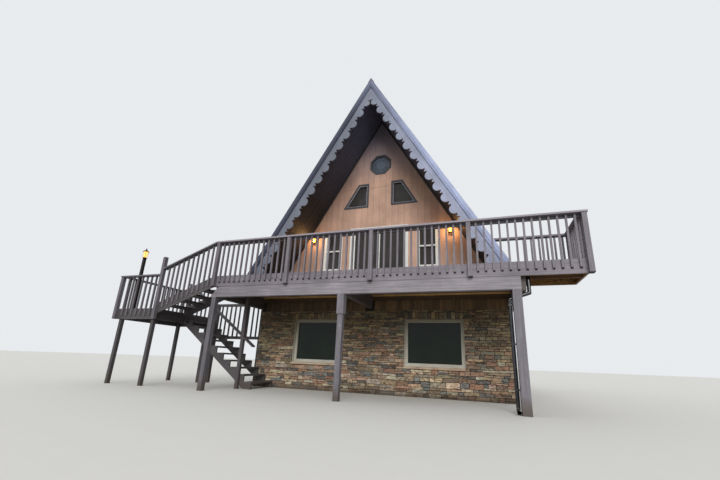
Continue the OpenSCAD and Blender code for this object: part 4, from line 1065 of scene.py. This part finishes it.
def bare_inside(finish, lows, highs):
    """Turns a paint into bare brown lumber inside a box of object space: the hidden faces of the
    framing, which were never painted."""
    def bare(tree, colour):
        inside = 1.0
        for axis in range(3):
            for limit, kind in ((lows[axis], "GREATER_THAN"), (highs[axis], "LESS_THAN")):
                inside = reckon(tree, "MULTIPLY", inside, reckon(tree, kind, axis_in(tree, axis), limit))
        fibre = noise(tree, (30.0, 3.0, 30.0), 5.0, 0.65)
        brown = blend(tree, spread(tree, fibre, 0.35, 0.65), "4e3418", "a37a40")
        return blend(tree, inside, colour, brown)

    repainted(finish, bare)


joint_z = rim[0][2]
skin, far = 0.02, 9.0
banded(outdoor["rim_paint"], joint_z, 0.0, 0.006)
banded(outdoor["beam_paint"], joint_z, 0.0, 0.004)
bare_inside(outdoor["rim_paint"], (rim[0][0] + skin, rim[0][1] + skin, 0.0),
            (rim[1][0] - skin, wing_y - skin, far))
bare_inside(deck_paint_y, (-far, -far, 0.0), (far, far, deck[1][2] - skin))
cap_box, baluster_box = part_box("front_rail_cap"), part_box("front_balusters")
# painted highlight along the cap's top edge, and a painted shadow line along its underside
banded(outdoor["rail_paint_x"], cap_box[1][2], 0.0, 0.045, "a19ba3", 0.75)
banded(outdoor["rail_paint_x"], cap_box[0][2], 0.0, 0.003, "2b282b")
# painted shade on the balusters' bevelled feet and on the rail posts' cut ends
foot_slope = 0.6
banded(outdoor["baluster_paint"], baluster_box[0][2] + baluster_box[1][1] * foot_slope, -foot_slope, 0.012)
banded(outdoor["rail_post_paint"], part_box("front_rail_posts")[0][2], 0.0, 0.02)

# --- Downspout ------------------------------------------------------------------------
# Black enamelled pipe and its straps beside the right post: glossy, and splashed with dirt
# at the foot.
enamel, tree = finish_of("black_enamel")
film = noise(tree, 9.0, 5.0)
colour = place(tree, splash, {"Colour": blend(tree, film, "0b0d12", "1b2029"),
                              "Reach": 0.25, "Amount": 0.4})["Colour"]
surface(tree, colour, spread(tree, film, 0.3, 0.75, 0.1, 0.26), film, 0.0008, Coat_Weight=0.6)
coat(enamel, "downspout")

# --- Lamp post ------------------------------------------------------------------------
# A square post on the side platform with a larger lantern of the same pattern, lit less
# brightly, on a turned collar.
(x0, y0, post_foot), (x1, y1, post_top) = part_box("lamp_post")
post_x, post_y, lantern_w = (x0 + x1) / 2, (y0 + y1) / 2, (x1 - x0) / 1.04
# its heights and widths are shares of the lantern's width
lantern_z = post_top - 1.26 * lantern_w
body, glass = lantern((post_x, post_y, lantern_z + 0.38 * lantern_w), lantern_w * 0.86)
shaft = lantern_w * 0.17
collar_profile = [(0.05, -0.34), (0.24, -0.32), (0.28, -0.24), (0.12, -0.16), (0.05, -0.15)]
body += [plain_block((post_x - shaft, post_y - shaft, post_foot),
                     (post_x + shaft, post_y + shaft, lantern_z - 0.3 * lantern_w)),
         turned(np.array(collar_profile) * lantern_w, (post_x, post_y, lantern_z))]
post_lamp = closed_piece("post_lamp", body, lamp_metal)
post_glass = closed_piece("post_lamp_glass", [glass], lit_glass("lamp_amber", "ff9a3c", "ffc070", 1.6))
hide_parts("lamp_post")
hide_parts("lamp_post")

# --- Studio ---------------------------------------------------------------------------
# Pale floor and backdrop, a broad soft key from the front and a little to the right, a small
# pool of warm light at each wall lamp, and the photograph's camera.
span = 120.0
floor_mesh = bpy.data.meshes.new("studio_floor")
corners = [(-span, -span, 0), (span, -span, 0), (span, span, 0), (-span, span, 0)]
floor_mesh.from_pydata(corners, [], [(0, 1, 2, 3)])
studio_floor = bpy.data.objects.new("studio_floor", floor_mesh)
bpy.context.scene.collection.objects.link(studio_floor)
pale, tree = finish_of("studio_floor")
speck = noise(tree, 3.0, 6.0)
seen = put(tree, "ShaderNodeLightPath").outputs["Is Camera Ray"]
shown = blend(tree, speck, "c9c7c2", "cdcbc6")
surface(tree, blend(tree, seen, "a9a7a2", shown), 0.9)
floor_mesh.materials.append(pale)
# the dome lights from above; the camera, glass and metal see a plain pale backdrop instead
world = bpy.data.worlds.new("studio")
bpy.context.scene.world = world
world.use_nodes = True
tree = world.node_tree
path = put(tree, "ShaderNodeLightPath").outputs
seen = reckon(tree, "MAXIMUM", path["Is Camera Ray"], path["Is Transmission Ray"])
seen = reckon(tree, "MAXIMUM", seen, path["Is Glossy Ray"])
facing = put(tree, "ShaderNodeTexCoord").outputs["Generated"]
dome = spread(tree, put(tree, "ShaderNodeSeparateXYZ", {0: facing}).outputs[2], 0.0, 0.8, 0.3, 1.15)
sky = tree.nodes["Background"]
sky.inputs[0].default_value = paint("f1f4f7")
tree.links.new(put(tree, "ShaderNodeMix", {0: seen, 2: dome, 3: 0.92}).outputs[0], sky.inputs[1])


def placed(name, data, spot, turn=(0, 0, 0)):
    """A lamp or camera at a spot, turned by three angles in degrees."""
    made = bpy.data.objects.new(name, data)
    made.location = spot
    made.rotation_euler = [math.radians(angle) for angle in turn]
    bpy.context.scene.collection.objects.link(made)
    return made


key = bpy.data.lights.new("key", "SUN")
key.energy, key.angle, key.color = 1.95, math.radians(36), (1.0, 0.99, 0.975)
placed("key", key, (0, 0, 0), (65, 0, 17))
for low_corner, high_corner in lamps:
    pool = bpy.data.lights.new("lamp_pool", "POINT")
    pool.energy, pool.color, pool.shadow_soft_size = 9.0, (1.0, 0.58, 0.24), 0.03
    middle = (low_corner + high_corner) / 2
    placed("lamp_pool", pool, (middle[0], low_corner[1] - 0.06, middle[2] - 0.06))
camera = bpy.data.cameras.new("camera")
camera.lens, camera.sensor_width, camera.clip_end = 17.0178, 36, 500
camera.shift_x, camera.shift_y = -0.01155, 0.02997
bpy.context.scene.camera = placed("camera", camera, (2.869, -13.106, 0.8185), (106.3555, -2.1358, 17.9265))
bpy.context.scene.view_settings.view_transform = "Standard"
